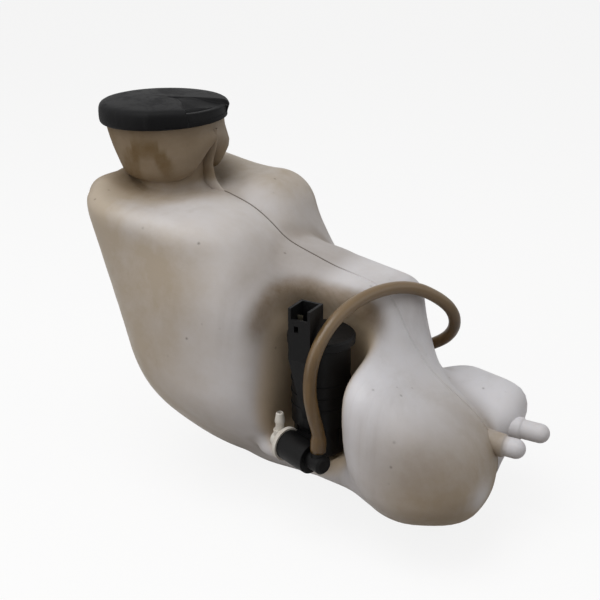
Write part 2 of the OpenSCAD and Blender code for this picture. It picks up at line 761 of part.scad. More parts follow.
// Black half of the valve: drum, elbow stub and the barb that carries the hose.
module front_outlet() {
    stub_l = 9;
    bevel = 1.2;
    color([0.1, 0.1, 0.11])
        valve_frame()
            difference() {
                union() {
                    rotate([0, 90, 0]) {
                        translate([0, 0, rear_face]) cylinder(r = drum_r, h = drum_l);
                        translate([0, 0, front_face - 1]) cylinder(r = elbow_r, h = stub_l + 1);
                        translate([0, 0, front_face + stub_l])
                            cylinder(r1 = elbow_r, r2 = elbow_r - bevel, h = bevel);
                    }
                    translate([barb_x, 0, 0]) nozzle(front_barb_h);
                    translate([barb_x, 0, 0]) cylinder(r = nozzle_r + 1.4, h = elbow_r + 1.4);
                }
                translate([rear_face - 1, 0, 0])
                    rotate([0, 90, 0]) cylinder(r = drum_r - drum_wall, h = drum_l - 2);
                rotate([0, 90, 0]) cylinder(r = nozzle_bore_r, h = barb_x);
                translate([barb_x, 0, 0]) cylinder(r = nozzle_bore_r, h = front_barb_h + 1);
                rotate([0, 0, -valve_turn]) rotate([-90, 0, 0]) cylinder(r = 2.2, h = drum_r + 1);
            }
}

diaphragm_t = 1.2;
diaphragm_x = rear_face + 1 + valve_travel + play;
module valve_diaphragm() {
    r = drum_r - drum_wall - play;
    color([0.15, 0.15, 0.15])
        valve_frame()
            translate([diaphragm_x, 0, 0])
                rotate([0, 90, 0])
                    rotate_extrude()
                        polygon([[0, 0], [r, 0], [r, diaphragm_t], [r - 1.5, diaphragm_t],
                            [r - 2.2, diaphragm_t - 0.4], [0, diaphragm_t - 0.4]]);
}

// White half of the valve with the free nozzle for the second hose.
module rear_outlet() {
    boss_r = 4.6;
    boss_l = 6;
    rim_x = rear_face - snug - rear_rim_t;
    root_x = rim_x - boss_l + 3;
    color([0.86, 0.86, 0.83])
        valve_frame()
            difference() {
                union() {
                    translate([rim_x, 0, 0])
                        rotate([0, 90, 0])
                            rotate_extrude()
                                polygon([[0, 0], [rear_rim_r - 1.5, 0], [rear_rim_r, 1.5],
                                    [rear_rim_r, rear_rim_t], [0, rear_rim_t]]);
                    translate([rim_x - boss_l, 0, 0])
                        rotate([0, 90, 0]) cylinder(r = boss_r, h = boss_l + 1);
                    translate([root_x, 0, 0]) nozzle(rear_nozzle_h);
                    translate([root_x, 0, 0]) cylinder(r = nozzle_r + 1.2, h = boss_r + 2);
                }
                translate([root_x, 0, 0]) cylinder(r = nozzle_bore_r, h = rear_nozzle_h + 1);
                translate([root_x, 0, 0]) rotate([0, 90, 0]) cylinder(r = nozzle_bore_r, h = 20);
            }
}

// Tube swept along the points of a route, as rings square to its run, with a bore.
module swept_tube(route, r, bore) {
    last = len(route) - 1;
    sides = 10;
    function run(i) =
        let (d = route[min(i + 1, last)] - route[max(i - 1, 0)])
        d / norm(d);
    function ring(i, size) =
        let (t = run(i),
            u = cross(t, [0.6, 0.8, 0]) / norm(cross(t, [0.6, 0.8, 0])),
            v = cross(t, u))
        [for (k = [0:sides - 1])
            route[i] + size * (cos(360 * k / sides) * u + sin(360 * k / sides) * v)];
    outer = [for (i = [0:last]) each ring(i, r)];
    inner = [for (i = [0:last]) each ring(i, bore)];
    n = len(outer);
    faces = concat(
        [for (i = [0:last - 1], k = [0:sides - 1])
            let (a = i * sides + k, b = i * sides + (k + 1) % sides)
            each [[a, b, a + sides], [b, b + sides, a + sides],
                [n + a, n + a + sides, n + b], [n + b, n + a + sides, n + b + sides]]],
        [for (k = [0:sides - 1])
            let (a = k, b = (k + 1) % sides, e = last * sides)
            each [[a, n + a, b], [b, n + a, n + b],
                [e + a, e + b, n + e + a], [e + b, n + e + b, n + e + a]]]);
    polyhedron(concat(outer, inner), faces);
}

module hose() color([0.5, 0.4, 0.27]) swept_tube(hose_route, hose_d / 2, hose_bore / 2);

// Straight joiner in the hose's far end, with a free barbed tail.
module hose_connector() {
    last = len(hose_route) - 1;
    run = hose_route[last] - hose_route[last - 1];
    tail = 14;
    plug = 10;
    color([0.12, 0.12, 0.13])
        translate(hose_route[last])
            rotate([0, acos(run.z / norm(run)), atan2(run.y, run.x)])
                difference() {
                    rotate_extrude()
                        polygon([[0, -plug], [hose_bore / 2 - 0.35, -plug], [hose_bore / 2 - 0.25, snug],
                            [hose_d / 2 + 0.6, snug], [hose_d / 2 + 0.6, 2.5], [nozzle_r, 2.5],
                            [nozzle_r, tail - 4], [nozzle_r + 0.4, tail - 4],
                            [nozzle_r - 0.4, tail], [0, tail]]);
                    translate([0, 0, -plug - 1]) cylinder(r = nozzle_bore_r, h = plug + tail + 2);
                }
}

tank();
filler_neck();
filler_cap();
pump_grommet();
inlet_strainer();
inlet_cover();
pump_chamber();
impeller();
shaft_seal();
motor_can();
lower_bush();
magnets();
armature();
windings();
motor_shaft();
commutator();
brushes();
brush_plate();
upper_bush();
pump_casing();
terminals();
front_outlet();
valve_diaphragm();
rear_outlet();
hose();
hose_connector();
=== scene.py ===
"""Looks of a used washer fluid reservoir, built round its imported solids.

Shapes are worked out in millimetres, in the frame of the solids: X along the tank towards its pegs, Y to the
back, Z up, the mould parting on y = 0. They become metres when they are put into a mesh.
"""

from __future__ import annotations

import json
import logging
import math
from dataclasses import dataclass
from enum import Enum
from typing import Callable, Optional, Sequence

import bpy
import numpy as np
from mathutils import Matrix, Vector

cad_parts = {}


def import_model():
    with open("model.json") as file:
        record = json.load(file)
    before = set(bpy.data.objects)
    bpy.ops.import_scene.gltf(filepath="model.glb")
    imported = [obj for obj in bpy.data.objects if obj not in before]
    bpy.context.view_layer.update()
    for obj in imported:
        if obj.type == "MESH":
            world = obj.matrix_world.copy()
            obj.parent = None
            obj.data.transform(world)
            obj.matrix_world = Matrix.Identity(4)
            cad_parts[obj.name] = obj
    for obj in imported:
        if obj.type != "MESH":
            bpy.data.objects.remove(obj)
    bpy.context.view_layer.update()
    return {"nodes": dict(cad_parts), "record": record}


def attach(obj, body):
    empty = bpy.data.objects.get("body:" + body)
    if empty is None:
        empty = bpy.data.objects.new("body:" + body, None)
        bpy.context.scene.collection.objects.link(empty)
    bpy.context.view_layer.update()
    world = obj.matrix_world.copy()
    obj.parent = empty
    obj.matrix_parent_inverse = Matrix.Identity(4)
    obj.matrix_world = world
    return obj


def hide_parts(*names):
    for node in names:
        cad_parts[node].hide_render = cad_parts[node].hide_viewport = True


LOG = logging.getLogger("reservoir")
MM = 0.001
Array = np.ndarray
Colour = tuple[float, float, float, float]
Socket = bpy.types.NodeSocket
Node = bpy.types.Node
Tree = bpy.types.NodeTree
Material = bpy.types.Material
Piece = bpy.types.Object


class Body(Enum):
    """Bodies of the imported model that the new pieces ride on."""

    TANK = "tank_body"
    CAP = "cap"


class Slot(Enum):
    """Record slots of the new pieces."""

    TANK = "aged_polyethylene"
    CAP = "cap_plastic"
    HOSE = "hose_vinyl"


def tone(red: int, green: int, blue: int) -> Colour:
    """Turns an everyday 0 to 255 colour into the linear one that shaders take.

    Args:
        red: Red part, 0 to 255.
        green: Green part, 0 to 255.
        blue: Blue part, 0 to 255.

    Returns:
        Linear red, green and blue with an alpha of 1.
    """
    share = np.array([red, green, blue]) / 255.0
    linear = np.where(share <= 0.04045, share / 12.92, ((share + 0.055) / 1.055) ** 2.4)
    return float(linear[0]), float(linear[1]), float(linear[2]), 1.0


def ease(low: float, high: float, x: Array) -> Array:
    """Rises smoothly from 0 at low to 1 at high, as 3t^2 - 2t^3.

    Args:
        low: Where the rise starts.
        high: Where it ends.
        x: Values to ease.

    Returns:
        Eased values from 0 to 1.
    """
    t = np.clip((x - low) / (high - low), 0.0, 1.0)
    return t * t * (3.0 - 2.0 * t)


def unit(v: Array) -> Array:
    """Scales each vector of the last axis to length 1."""
    return v / np.maximum(np.linalg.norm(v, axis=-1, keepdims=True), 1e-12)


def full_turn(steps: int) -> Array:
    """Angles of a full turn in even steps, in radians."""
    return np.linspace(0.0, 2 * math.pi, steps, endpoint=False)


def run_length(points: Array) -> Array:
    """Length along a line up to each of its points."""
    return np.concatenate([[0.0], np.cumsum(np.linalg.norm(np.diff(points, axis=0), axis=1))])


def smooth_line(points: Array, count: int) -> Array:
    """Resamples a line at even steps: a Catmull-Rom curve through its points, cut into equal lengths.

    Args:
        points: Points of the line, one row each.
        count: How many points to return.

    Returns:
        The new points.
    """
    ends = np.concatenate([2 * points[:1] - points[1:2], points, 2 * points[-1:] - points[-2:-1]])
    t = np.linspace(0.0, 1.0, 24, endpoint=False)[None, :, None]
    a, b, c, d = (ends[i:len(ends) - 3 + i, None, :] for i in range(4))
    fine = 0.5 * (2 * b + (c - a) * t + (2 * a - 5 * b + 4 * c - d) * t**2 + (3 * b - a - 3 * c + d) * t**3)
    fine = np.concatenate([fine.reshape(-1, points.shape[1]), points[-1:]])
    run = run_length(fine)
    at = np.linspace(0.0, run[-1], count)
    return np.stack([np.interp(at, run, fine[:, k]) for k in range(points.shape[1])], axis=-1)


def new_object(name: str, data: bpy.types.ID) -> Piece:
    """Makes an object from its data and puts it into the scene.

    Args:
        name: Name of the object.
        data: Its mesh, camera or lamp.

    Returns:
        The object.
    """
    made = bpy.data.objects.new(name, data)
    bpy.context.scene.collection.objects.link(made)
    return made


class Surface:
    """A mesh in the making: grids of points, in millimetres, that end up in one object."""

    def __init__(self) -> None:
        """Starts with nothing in it."""
        self.points: list[Array] = []
        self.faces: list[Array] = []
        self.count = 0

    @staticmethod
    def _outward(points: Array, faces: Array) -> Array:
        """Turns faces round if the volume that they enclose about their middle is negative.

        Args:
            points: Points of a grid.
            faces: Corners of its faces, as numbers of points.

        Returns:
            The faces, all of them looking outwards.
        """
        p = points - points.mean(axis=0)
        a, b, c = (p[faces[:, k]] for k in range(3))
        volume = np.einsum("ij,ij->i", a, np.cross(b, c)).sum()
        return faces[:, ::-1] if volume < 0 else faces

    def grid(
        self,
        points: Array,
        loop: bool = False,
        poles: tuple[Optional[Array], Optional[Array]] = (None, None),
        drop: Optional[Callable[[Array], Array]] = None,
    ) -> None:
        """Adds a grid of rows and columns as quads, each row closed on itself.

        Args:
            points: Rows by columns by 3.
            loop: Whether the last row joins the first.
            poles: Points that close the first and the last row as fans, or None.
            drop: Takes face middles and says which faces are left out, for an opening.
        """
        rows, columns = points.shape[:2]
        index = np.arange(rows * columns).reshape(rows, columns)
        index = np.concatenate([index, index[:, :1]], axis=1)
        if loop:
            index = np.concatenate([index, index[:1]], axis=0)
        quads = np.stack([index[:-1, :-1], index[:-1, 1:], index[1:, 1:], index[1:, :-1]], axis=-1).reshape(-1, 4)
        flat = points.reshape(-1, 3)
        for pole, ring, step in ((poles[0], index[0], 1), (poles[1], index[-1], -1)):
            if pole is not None:
                tip = np.full(len(ring) - 1, len(flat))
                pair = (ring[1:], ring[:-1]) if step > 0 else (ring[:-1], ring[1:])
                quads = np.concatenate([quads, np.stack([tip, *pair, tip], axis=-1)])
                flat = np.concatenate([flat, np.asarray(pole, float)[None]])
        if drop is not None:
            quads = quads[~drop(flat[quads].mean(axis=1))]
        self.points.append(flat)
        self.faces.append(self._outward(flat, quads) + self.count)
        self.count += len(flat)

    def build(self, name: str, body: Body, slot: Slot) -> Piece:
        """Makes the object, smooth-shaded, and rides it on its body.

        Args:
            name: Name of the piece.
            body: Body that carries it.
            slot: Record slot of its finish; not used.

        Returns:
            The new object.
        """
        corners = np.concatenate(self.faces).tolist()
        faces = [list(dict.fromkeys(face)) for face in corners]
        mesh = bpy.data.meshes.new(name)
        mesh.from_pydata((np.concatenate(self.points) * MM).tolist(), [], faces, shade_flat=False)
        mesh.validate()
        piece = new_object(name, mesh)
        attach(piece, body.value)
        LOG.info("%s: %d faces on %s", name, len(faces), body.value)
        return piece


def tube(path: Array, radius: Array, sides: int) -> Array:
    """Rings square to a path: each is its point plus radius times a circle in two carried-along directions.

    Args:
        path: Points of the middle line.
        radius: Radius at each point.
        sides: Points on each ring.

    Returns:
        Rows by sides by 3.
    """
    run = unit(np.gradient(path, axis=0))
    side = unit(np.cross(run, np.array([0.6, 0.8, 0.0])))
    over = np.cross(run, side)
    a = full_turn(sides)[None, :, None]
    return path[:, None, :] + radius[:, None, None] * (np.cos(a) * side[:, None, :] + np.sin(a) * over[:, None, :])


def revolve(profile: Array, origin: Sequence[float], axis: Sequence[float], sides: int) -> Array:
    """Turns a half profile of radius and height about an axis.

    Args:
        profile: Rows of radius and height along the axis.
        origin: Point of the axis at height 0.
        axis: Direction of the axis.
        sides: Points round the axis.

    Returns:
        Rows by sides by 3.
    """
    up = unit(np.asarray(axis, float))
    side = unit(np.cross(up, np.array([0.0, 1.0, 0.0]) if abs(up[1]) < 0.9 else np.array([1.0, 0.0, 0.0])))
    over = np.cross(up, side)
    a = full_turn(sides)[None, :, None]
    r, h = profile[:, 0, None, None], profile[:, 1, None, None]
    return np.asarray(origin, float) + r * (np.cos(a) * side + np.sin(a) * over) + h * up


class BlownForm:
    """The tank's blown outside as a signed distance.

    It is the solid's blend of round-edged boxes, with its foot trimmed closer.
    """

    @staticmethod
    def join(a: Array, b: Array, k: float) -> Array:
        """Smooth union of two distances, blended over k."""
        return np.minimum(a, b) - np.maximum(k - np.abs(a - b), 0.0) ** 2 / (4.0 * k)

    @staticmethod
    def meet(a: Array, b: Array, k: float) -> Array:
        """Smooth intersection of two distances, blended over k."""
        return np.maximum(a, b) + np.maximum(k - np.abs(a - b), 0.0) ** 2 / (4.0 * k)

    def cut(self, d: Array, p: Array, n: Sequence[float], c: Sequence[float], k: float) -> Array:
        """Cuts a distance d of points p by the flat face through c with outward normal n, blended over k."""
        return self.meet(d, (p - np.asarray(c, float)) @ unit(np.asarray(n, float)), k)

    @staticmethod
    def pod(
        p: Array, c: Sequence[float], h: Sequence[float], r: float, lean: float = 0.0, turn: float = 0.0
    ) -> Array:
        """Distance to a round-edged box that leans along X or is turned about Y.

        Args:
            p: Points.
            c: Middle of the box.
            h: Half sizes.
            r: Edge radius.
            lean: Millimetres sideways per millimetre of height.
            turn: Degrees about Y.

        Returns:
            One distance per point.
        """
        z0 = p[..., 2] - c[2]
        x0 = p[..., 0] - c[0] + lean * z0
        t = math.radians(turn)
        q = np.stack(
            [
                np.abs(x0 * math.cos(t) - z0 * math.sin(t)) - h[0] + r,
                np.abs(p[..., 1] - c[1]) - h[1] + r,
                np.abs(x0 * math.sin(t) + z0 * math.cos(t)) - h[2] + r,
            ],
            axis=-1,
        )
        return np.linalg.norm(np.maximum(q, 0.0), axis=-1) + np.minimum(q.max(axis=-1), 0.0) - r

    def upper_body(self, p: Array) -> Array:
        """Leaning box and deeper front box, sloped to the saddle, with a back hump and a dish round the throat.

        Args:
            p: Points.

        Returns:
            One distance per point.
        """
        leaning = self.pod(p, (-62, 2, 110), (51, 64, 84), 36, 0.33)
        shoulder = self.cut(leaning, p, (0.2, -0.08, 0.98), (-95, -10, 178), 12)
        deep = self.pod(p, (-34, 3, 72), (44, 61, 78), 36, 0.1)
        both = self.cut(self.join(shoulder, deep, 30), p, (0.54, 0.3, 0.79), (-10, 0, 151), 24)
        dish = self.pod(p, (-92, -14, 198), (30, 48, 26), 24)
        hump = self.pod(p, (-64, 37, 142), (38, 30, 30), 22, 0.1, -6)
        ended = self.cut(both, p, (-0.32, -0.68, -0.66), (-97.3, 13.8, -2.2), 14)
        low = self.cut(ended, p, (0.2, -0.6, -0.78), (-47.6, -4.5, -0.8), 20)
        return self.meet(self.join(low, hump, 14), -dish, 16)

    def lobes(self, p: Array) -> Array:
        """Near lobe that slopes to its peg, and the far lobe behind a valley.

        Args:
            p: Points.

        Returns:
            One distance per point.
        """
        near = self.pod(p, (80, -22, 60), (40, 46, 64), 32, 0, -8)
        near = self.cut(near, p, (0.5, 0.14, 0.86), (97, 0, 72), 30)
        far = self.pod(p, (90, 35, 33.5), (33, 24, 38), 20, 0, 9)
        ended = self.cut(self.join(near, far, 10), p, (0.82, 0.25, -0.5), (119, 0, 25), 28)
        low = self.cut(ended, p, (0.09, -0.56, -0.82), (68.1, -21.8, -2.2), 10)
        low = self.cut(low, p, (0.5, -0.35, -0.79), (97.5, -11.8, -1), 16)
        return self.cut(low, p, (-0.62, -0.4, -0.67), (58, -47, 27), 16)

    def pocket(self, p: Array) -> Array:
        """Hollow of the front wall that the pump stands in."""
        room = self.pod(p, (23, -59, 86.3), (22, 46, 45.5), 14)
        return self.cut(room, p, (0, 0.6, 0.8), (24, -13, 114), 14)

    def __call__(self, p: Array) -> Array:
        """The whole form: body, saddle, lobes, pump shelf and heel, less the pocket, on a flat base.

        Args:
            p: Points.

        Returns:
            One distance per point.
        """
        waist = self.pod(p, (18, 6, 69), (41, 28, 76), 22, 0, 8)
        waist = self.cut(waist, p, (0.2, -0.04, 0.97), (19, 0, 136), 12)
        waist = self.cut(waist, p, (0.92, -0.34, 0.2), (53, 0, 112), 16)
        waist = self.cut(waist, p, (-0.1, -0.47, -0.875), (22, -2, 1.8), 8)
        shelf = self.pod(p, (30, -18, 22), (40, 33.5, 26), 10)
        shelf = self.cut(shelf, p, (-0.1, -0.47, -0.875), (22, -20, 17.6), 4)
        heel = self.pod(p, (40, 30, 28), (60, 28, 34), 22)
        ridge = self.join(waist, self.lobes(p), 30)
        mass = self.join(self.join(self.join(self.upper_body(p), ridge, 18), shelf, 8), heel, 14)
        return self.meet(self.meet(mass, -self.pocket(p), 10), -p[..., 2] - 0.6, 4)

    def slope(self, p: Array, step: float = 0.4) -> Array:
        """Outward direction of the form at each point, from differences over a small step."""
        return unit(np.stack([self(p + s) - self(p - s) for s in step * np.eye(3)], axis=-1))

    def hollowness(self, p: Array, step: float) -> Array:
        """How concave the form is at each point: the negative sum of its second differences over a step."""
        here = self(p)
        return -sum(self(p + s) + self(p - s) - 2.0 * here for s in step * np.eye(3)) / step**2


class Sheet:
    """A shader tree in the making, with short ways to add and join nodes."""

    MIX_FACTOR, MIX_A, MIX_B, MIX_RESULT = 0, 6, 7, 2

    def __init__(self, tree: Tree) -> None:
        """Holds the tree."""
        self.tree = tree

    @classmethod
    def of_material(cls, name: str) -> tuple[Material, Sheet, Node]:
        """Opens a new material.

        Args:
            name: Name of the material.

        Returns:
            The material, its sheet and its Principled shader.
        """
        made = bpy.data.materials.new(name)
        made.use_nodes = True
        return made, cls(made.node_tree), made.node_tree.nodes["Principled BSDF"]

    def fill(self, node: Node, given: dict) -> None:
        """Links inputs of a node to other sockets, or sets their plain values.

        Args:
            node: The node.
            given: Sockets and plain values, by the name or number of the input.
        """
        for name, value in given.items():
            if isinstance(value, Socket):
                self.tree.links.new(value, node.inputs[name])
            else:
                node.inputs[name].default_value = value

    def node(self, kind: str, given: Optional[dict] = None, **settings: object) -> Node:
        """Adds a node.

        Args:
            kind: Kind of the node.
            given: Sockets and plain values of its inputs, by name or number.
            settings: Its other settings.

        Returns:
            The node.
        """
        made = self.tree.nodes.new(kind)
        for name, value in settings.items():
            setattr(made, name, value)
        self.fill(made, given or {})
        return made

    def place(self) -> Socket:
        """Object coordinates of the piece."""
        return self.node("ShaderNodeTexCoord").outputs["Object"]

    def attribute(self, name: str) -> Socket:
        """Value of a named attribute of the mesh."""
        return self.node("ShaderNodeAttribute", attribute_name=name).outputs["Fac"]

    def stretch(self, vector: Socket, scale: Sequence[float]) -> Socket:
        """Scales coordinates by three factors."""
        return self.node("ShaderNodeMapping", {"Vector": vector, "Scale": scale}).outputs["Vector"]

    def noise(
        self, vector: Socket, scale: object, detail: float = 4.0, rough: float = 0.55, warp: float = 0.0
    ) -> Socket:
        """Cloudy noise of a size, a depth of detail, a roughness and a warp."""
        given = {"Vector": vector, "Scale": scale, "Detail": detail, "Roughness": rough, "Distortion": warp}
        return self.node("ShaderNodeTexNoise", given).outputs["Fac"]

    def cells(self, vector: Socket, scale: object) -> Socket:
        """Distance to the nearest of scattered points."""
        return self.node("ShaderNodeTexVoronoi", {"Vector": vector, "Scale": scale}).outputs["Distance"]

    def range(self, value: Socket, low: object, high: object, to: tuple[float, float] = (0.0, 1.0)) -> Socket:
        """Maps low to high onto a new range, smoothly and clamped."""
        given = {"Value": value, "From Min": low, "From Max": high, "To Min": to[0], "To Max": to[1]}
        return self.node("ShaderNodeMapRange", given, interpolation_type="SMOOTHSTEP").outputs["Result"]

    def work(self, operation: str, a: object, b: object, clamp: bool = False) -> Socket:
        """One step of arithmetic on two values."""
        return self.node("ShaderNodeMath", {0: a, 1: b}, operation=operation, use_clamp=clamp).outputs[0]

    def times(self, a: object, b: object, clamp: bool = False) -> Socket:
        """Product of two values."""
        return self.work("MULTIPLY", a, b, clamp)

    def plus(self, a: object, b: object, clamp: bool = False) -> Socket:
        """Sum of two values."""
        return self.work("ADD", a, b, clamp)

    def mix(self, factor: object, a: object, b: object) -> Socket:
        """Mixes two colours by a factor."""
        given = {self.MIX_FACTOR: factor, self.MIX_A: a, self.MIX_B: b}
        return self.node("ShaderNodeMix", given, data_type="RGBA").outputs[self.MIX_RESULT]

    def blend(self, factor: Socket, a: Socket, b: Socket) -> Socket:
        """Mixes two shaders by a factor."""
        return self.node("ShaderNodeMixShader", {0: factor, 1: a, 2: b}).outputs[0]

    def mask(self, shared: Tree, place: Socket, **given: float) -> Socket:
        """Mask of a shared group at coordinates, set by its named inputs."""
        return self.node("ShaderNodeGroup", {"Place": place, **given}, node_tree=shared).outputs["Mask"]

    def bump(self, height: Socket, strength: float, distance: float) -> Socket:
        """Normal from a height, with its strength and its depth in metres."""
        given = {"Height": height, "Strength": strength, "Distance": distance}
        return self.node("ShaderNodeBump", given).outputs["Normal"]


class SharedEffects:
    """Node groups that several finishes share: grime clouds, specks and scuffs."""

    def __init__(self) -> None:
        """Builds each group once."""
        self.grime = self._grime()
        self.specks = self._specks()
        self.scuffs = self._scuffs()

    @staticmethod
    def _start(name: str, inputs: dict[str, float]) -> tuple[Sheet, dict[str, Socket], Node]:
        """Opens a group with coordinates and named values in, and a mask out.

        Args:
            name: Name of the group.
            inputs: Value inputs and their defaults.

        Returns:
            The sheet, its inputs by name, and its output node.
        """
        tree = bpy.data.node_groups.new(name, "ShaderNodeTree")
        tree.interface.new_socket(name="Place", in_out="INPUT", socket_type="NodeSocketVector")
        for socket, value in inputs.items():
            made = tree.interface.new_socket(name=socket, in_out="INPUT", socket_type="NodeSocketFloat")
            made.default_value = value
        tree.interface.new_socket(name="Mask", in_out="OUTPUT", socket_type="NodeSocketFloat")
        sheet = Sheet(tree)
        given = sheet.node("NodeGroupInput").outputs
        return sheet, {name: given[name] for name in ("Place", *inputs)}, sheet.node("NodeGroupOutput")

    def _grime(self) -> Tree:
        """Cloudy mask: coarse noise broken up by fine noise, cut at a threshold.

        Returns:
            The group.
        """
        sheet, given, out = self._start("grime_clouds", {"Scale": 20.0, "Low": 0.4, "High": 0.7})
        coarse = sheet.noise(given["Place"], given["Scale"], 5.0, 0.6, 0.6)
        fine = sheet.noise(given["Place"], sheet.times(given["Scale"], 7.0), 4.0, 0.65)
        cloud = sheet.plus(sheet.times(coarse, 0.72), sheet.times(fine, 0.28))
        sheet.fill(out, {"Mask": sheet.range(cloud, given["Low"], given["High"])})
        return sheet.tree

    def _specks(self) -> Tree:
        """Small dots: near points of a cell pattern, thinned out by a coarse noise.

        Returns:
            The group.
        """
        sheet, given, out = self._start("specks", {"Scale": 160.0, "Size": 0.12, "Thin": 0.55})
        dot = sheet.range(sheet.cells(given["Place"], given["Scale"]), given["Size"], 0.0)
        patches = sheet.noise(given["Place"], sheet.times(given["Scale"], 0.4), 2.0)
        sheet.fill(out, {"Mask": sheet.times(dot, sheet.range(patches, given["Thin"], 0.75))})
        return sheet.tree

    def _scuffs(self) -> Tree:
        """Fine drawn-out scratches: noise stretched along one way, cut thin.

        Returns:
            The group.
        """
        sheet, given, out = self._start("scuffs", {"Scale": 60.0, "Low": 0.62, "High": 0.72})
        drawn = sheet.stretch(given["Place"], (1.0, 0.5, 0.09))
        line = sheet.noise(drawn, given["Scale"], 6.0, 0.6, 0.3)
        sheet.fill(out, {"Mask": sheet.range(line, given["Low"], given["High"])})
        return sheet.tree


@dataclass(frozen=True)
class AgedPolyethylene:
    """Milky blown plastic that has yellowed and taken on road dirt, with painted light and shade in places.

    Attributes:
        clean: Colour of the rubbed, paler plastic.
        aged_and_painted_light: Colour of the dulled plastic, also used for painted shade.
        brown: Colour of the road dirt, also used for painted shade.
        dark: Colour of the dirt in the worst corners.
        pocket_light_cream: Pale warm colour painted on the wall of the pump's pocket: painted light that lifts the
            pocket's shade, with a warm stain tint.
        specks: Scale, size, thinness and weight of each layer of specks.
    """

    clean: Colour = tone(218, 217, 221)
    aged_and_painted_light: Colour = tone(178, 165, 148)
    brown: Colour = tone(112, 92, 64)
    dark: Colour = tone(62, 48, 32)
    pocket_light_cream: Colour = tone(228, 205, 172)
    specks: tuple[tuple[float, ...], ...] = ((150.0, 0.13, 0.6, 0.6), (85.0, 0.11, 0.42, 0.95))

    def material(self, effects: SharedEffects) -> Material:
        """Makes the material: pale plastic, dulled by clouds, lifted to a pale warm tone in the pump's pocket as
        painted light, browned by the grime attribute with its dirt and painted shade, specked and scuffed.

        Args:
            effects: Shared node groups.

        Returns:
            The material.
        """
        made, sheet, shader = Sheet.of_material("aged_polyethylene")
        place = sheet.place()
        clouds = sheet.mask(effects.grime, place, Scale=14.0, Low=0.3, High=0.75)
        cloudy = sheet.plus(sheet.times(clouds, 0.4), 0.8)
        dulled = sheet.times(sheet.attribute("aged_and_painted_light"), cloudy)
        colour = sheet.mix(sheet.plus(sheet.times(clouds, 0.16), dulled, True), self.clean, self.aged_and_painted_light)
        smears = sheet.mask(effects.scuffs, place, Scale=34.0, Low=0.5, High=0.75)
        colour = sheet.mix(sheet.times(smears, 0.2), colour, self.brown)
        # Pale warm tone in the pump's pocket: painted light that lifts the pocket's shade.
        colour = sheet.mix(sheet.attribute("painted_pocket_light"), colour, self.pocket_light_cream)
        fine = sheet.mask(effects.grime, place, Scale=26.0, Low=0.25, High=0.75)
        # The grime attribute carries road dirt and painted shade together.
        dirt_and_painted_light = sheet.times(sheet.attribute("grime"), sheet.plus(sheet.times(fine, 0.3), 0.78), True)
        colour = sheet.mix(dirt_and_painted_light, colour, self.brown)
        worst = sheet.times(sheet.range(dirt_and_painted_light, 0.75, 1.1), fine)
        colour = sheet.mix(sheet.times(worst, 0.06), colour, self.dark)
        for scale, size, thin, weight in self.specks:
            specks = sheet.mask(effects.specks, place, Scale=scale, Size=size, Thin=thin)
            colour = sheet.mix(sheet.times(specks, weight), colour, self.dark)
        colour = sheet.mix(sheet.times(sheet.attribute("seam"), 0.75), colour, self.dark)
        clean_rough = sheet.range(clouds, 0.0, 1.0, (0.36, 0.5))
        waves = sheet.times(sheet.noise(place, 45.0, 3.0), 2.0)
        height = sheet.plus(sheet.noise(place, 420.0, 3.0), waves)
        sheet.fill(shader, {
            "Base Color": colour,
            "Roughness": sheet.plus(sheet.times(dirt_and_painted_light, 0.3), clean_rough, True),
            "Subsurface Weight": 0.12,
            "Subsurface Radius": (0.006, 0.005, 0.004),
            "Specular IOR Level": 0.25,
            "Normal": sheet.bump(height, 0.12, 0.0006),
        })
        return made


@dataclass(frozen=True)
class MouldedPlastic:
    """Moulded plastic with a fine grain, dust and scuffs.

    Attributes:
        name: Name of the material.
        base: Colour of the plastic.
        worn: Colour of its worn and dusty places.
        rough: Roughness of the plain surface.
        grain: Bump of the mould's grain.
        dust: Share of the dust clouds.
        shine: Level of the clear reflection.
    """

    name: str
    base: Colour
    worn: Colour
    rough: float = 0.45
    grain: float = 0.15
    dust: float = 0.35
    shine: float = 0.5

    def material(self, effects: SharedEffects) -> Material:
        """Makes the material: base colour, cloudy dust, drawn scuffs and a fine bump.

        Args:
            effects: Shared node groups.

        Returns:
            The material.
        """
        made, sheet, shader = Sheet.of_material(self.name)
        place = sheet.place()
        dust = sheet.mask(effects.grime, place, Scale=48.0, Low=0.42, High=0.72)
        scuffs = sheet.mask(effects.scuffs, place, Scale=150.0, Low=0.6, High=0.74)
        worn = sheet.plus(sheet.times(dust, self.dust), sheet.times(scuffs, 0.25), True)
        dusty_rough = min(self.rough + 0.25, 1.0)
        sheet.fill(shader, {
            "Base Color": sheet.mix(worn, self.base, self.worn),
            "Roughness": sheet.range(dust, 0.0, 1.0, (self.rough, dusty_rough)),
            "Specular IOR Level": self.shine,
            "Normal": sheet.bump(sheet.noise(place, 900.0, 2.0), self.grain, 0.0004),
        })
        return made


@dataclass(frozen=True)
class BareMetal:
    """Metal of the motor with a drawn or ground surface.

    Attributes:
        name: Name of the material.
        base: Colour of the metal.
        dull: Colour of its tarnish.
        rough: Roughness of the bright places.
    """

    name: str
    base: Colour
    dull: Colour
    rough: float = 0.3

    def material(self, effects: SharedEffects) -> Material:
        """Makes the material: metal with tarnish clouds and drawn lines.

        Args:
            effects: Shared node groups.

        Returns:
            The material.
        """
        made, sheet, shader = Sheet.of_material(self.name)
        place = sheet.place()
        tarnish = sheet.mask(effects.grime, place, Scale=70.0, Low=0.4, High=0.75)
        lines = sheet.mask(effects.scuffs, place, Scale=300.0, Low=0.4, High=0.6)
        sheet.fill(shader, {
            "Base Color": sheet.mix(tarnish, self.base, self.dull),
            "Metallic": 1.0,
            "Roughness": sheet.range(tarnish, 0.0, 1.0, (self.rough, self.rough + 0.3)),
            "Normal": sheet.bump(lines, 0.15, 0.0002),
        })
        return made


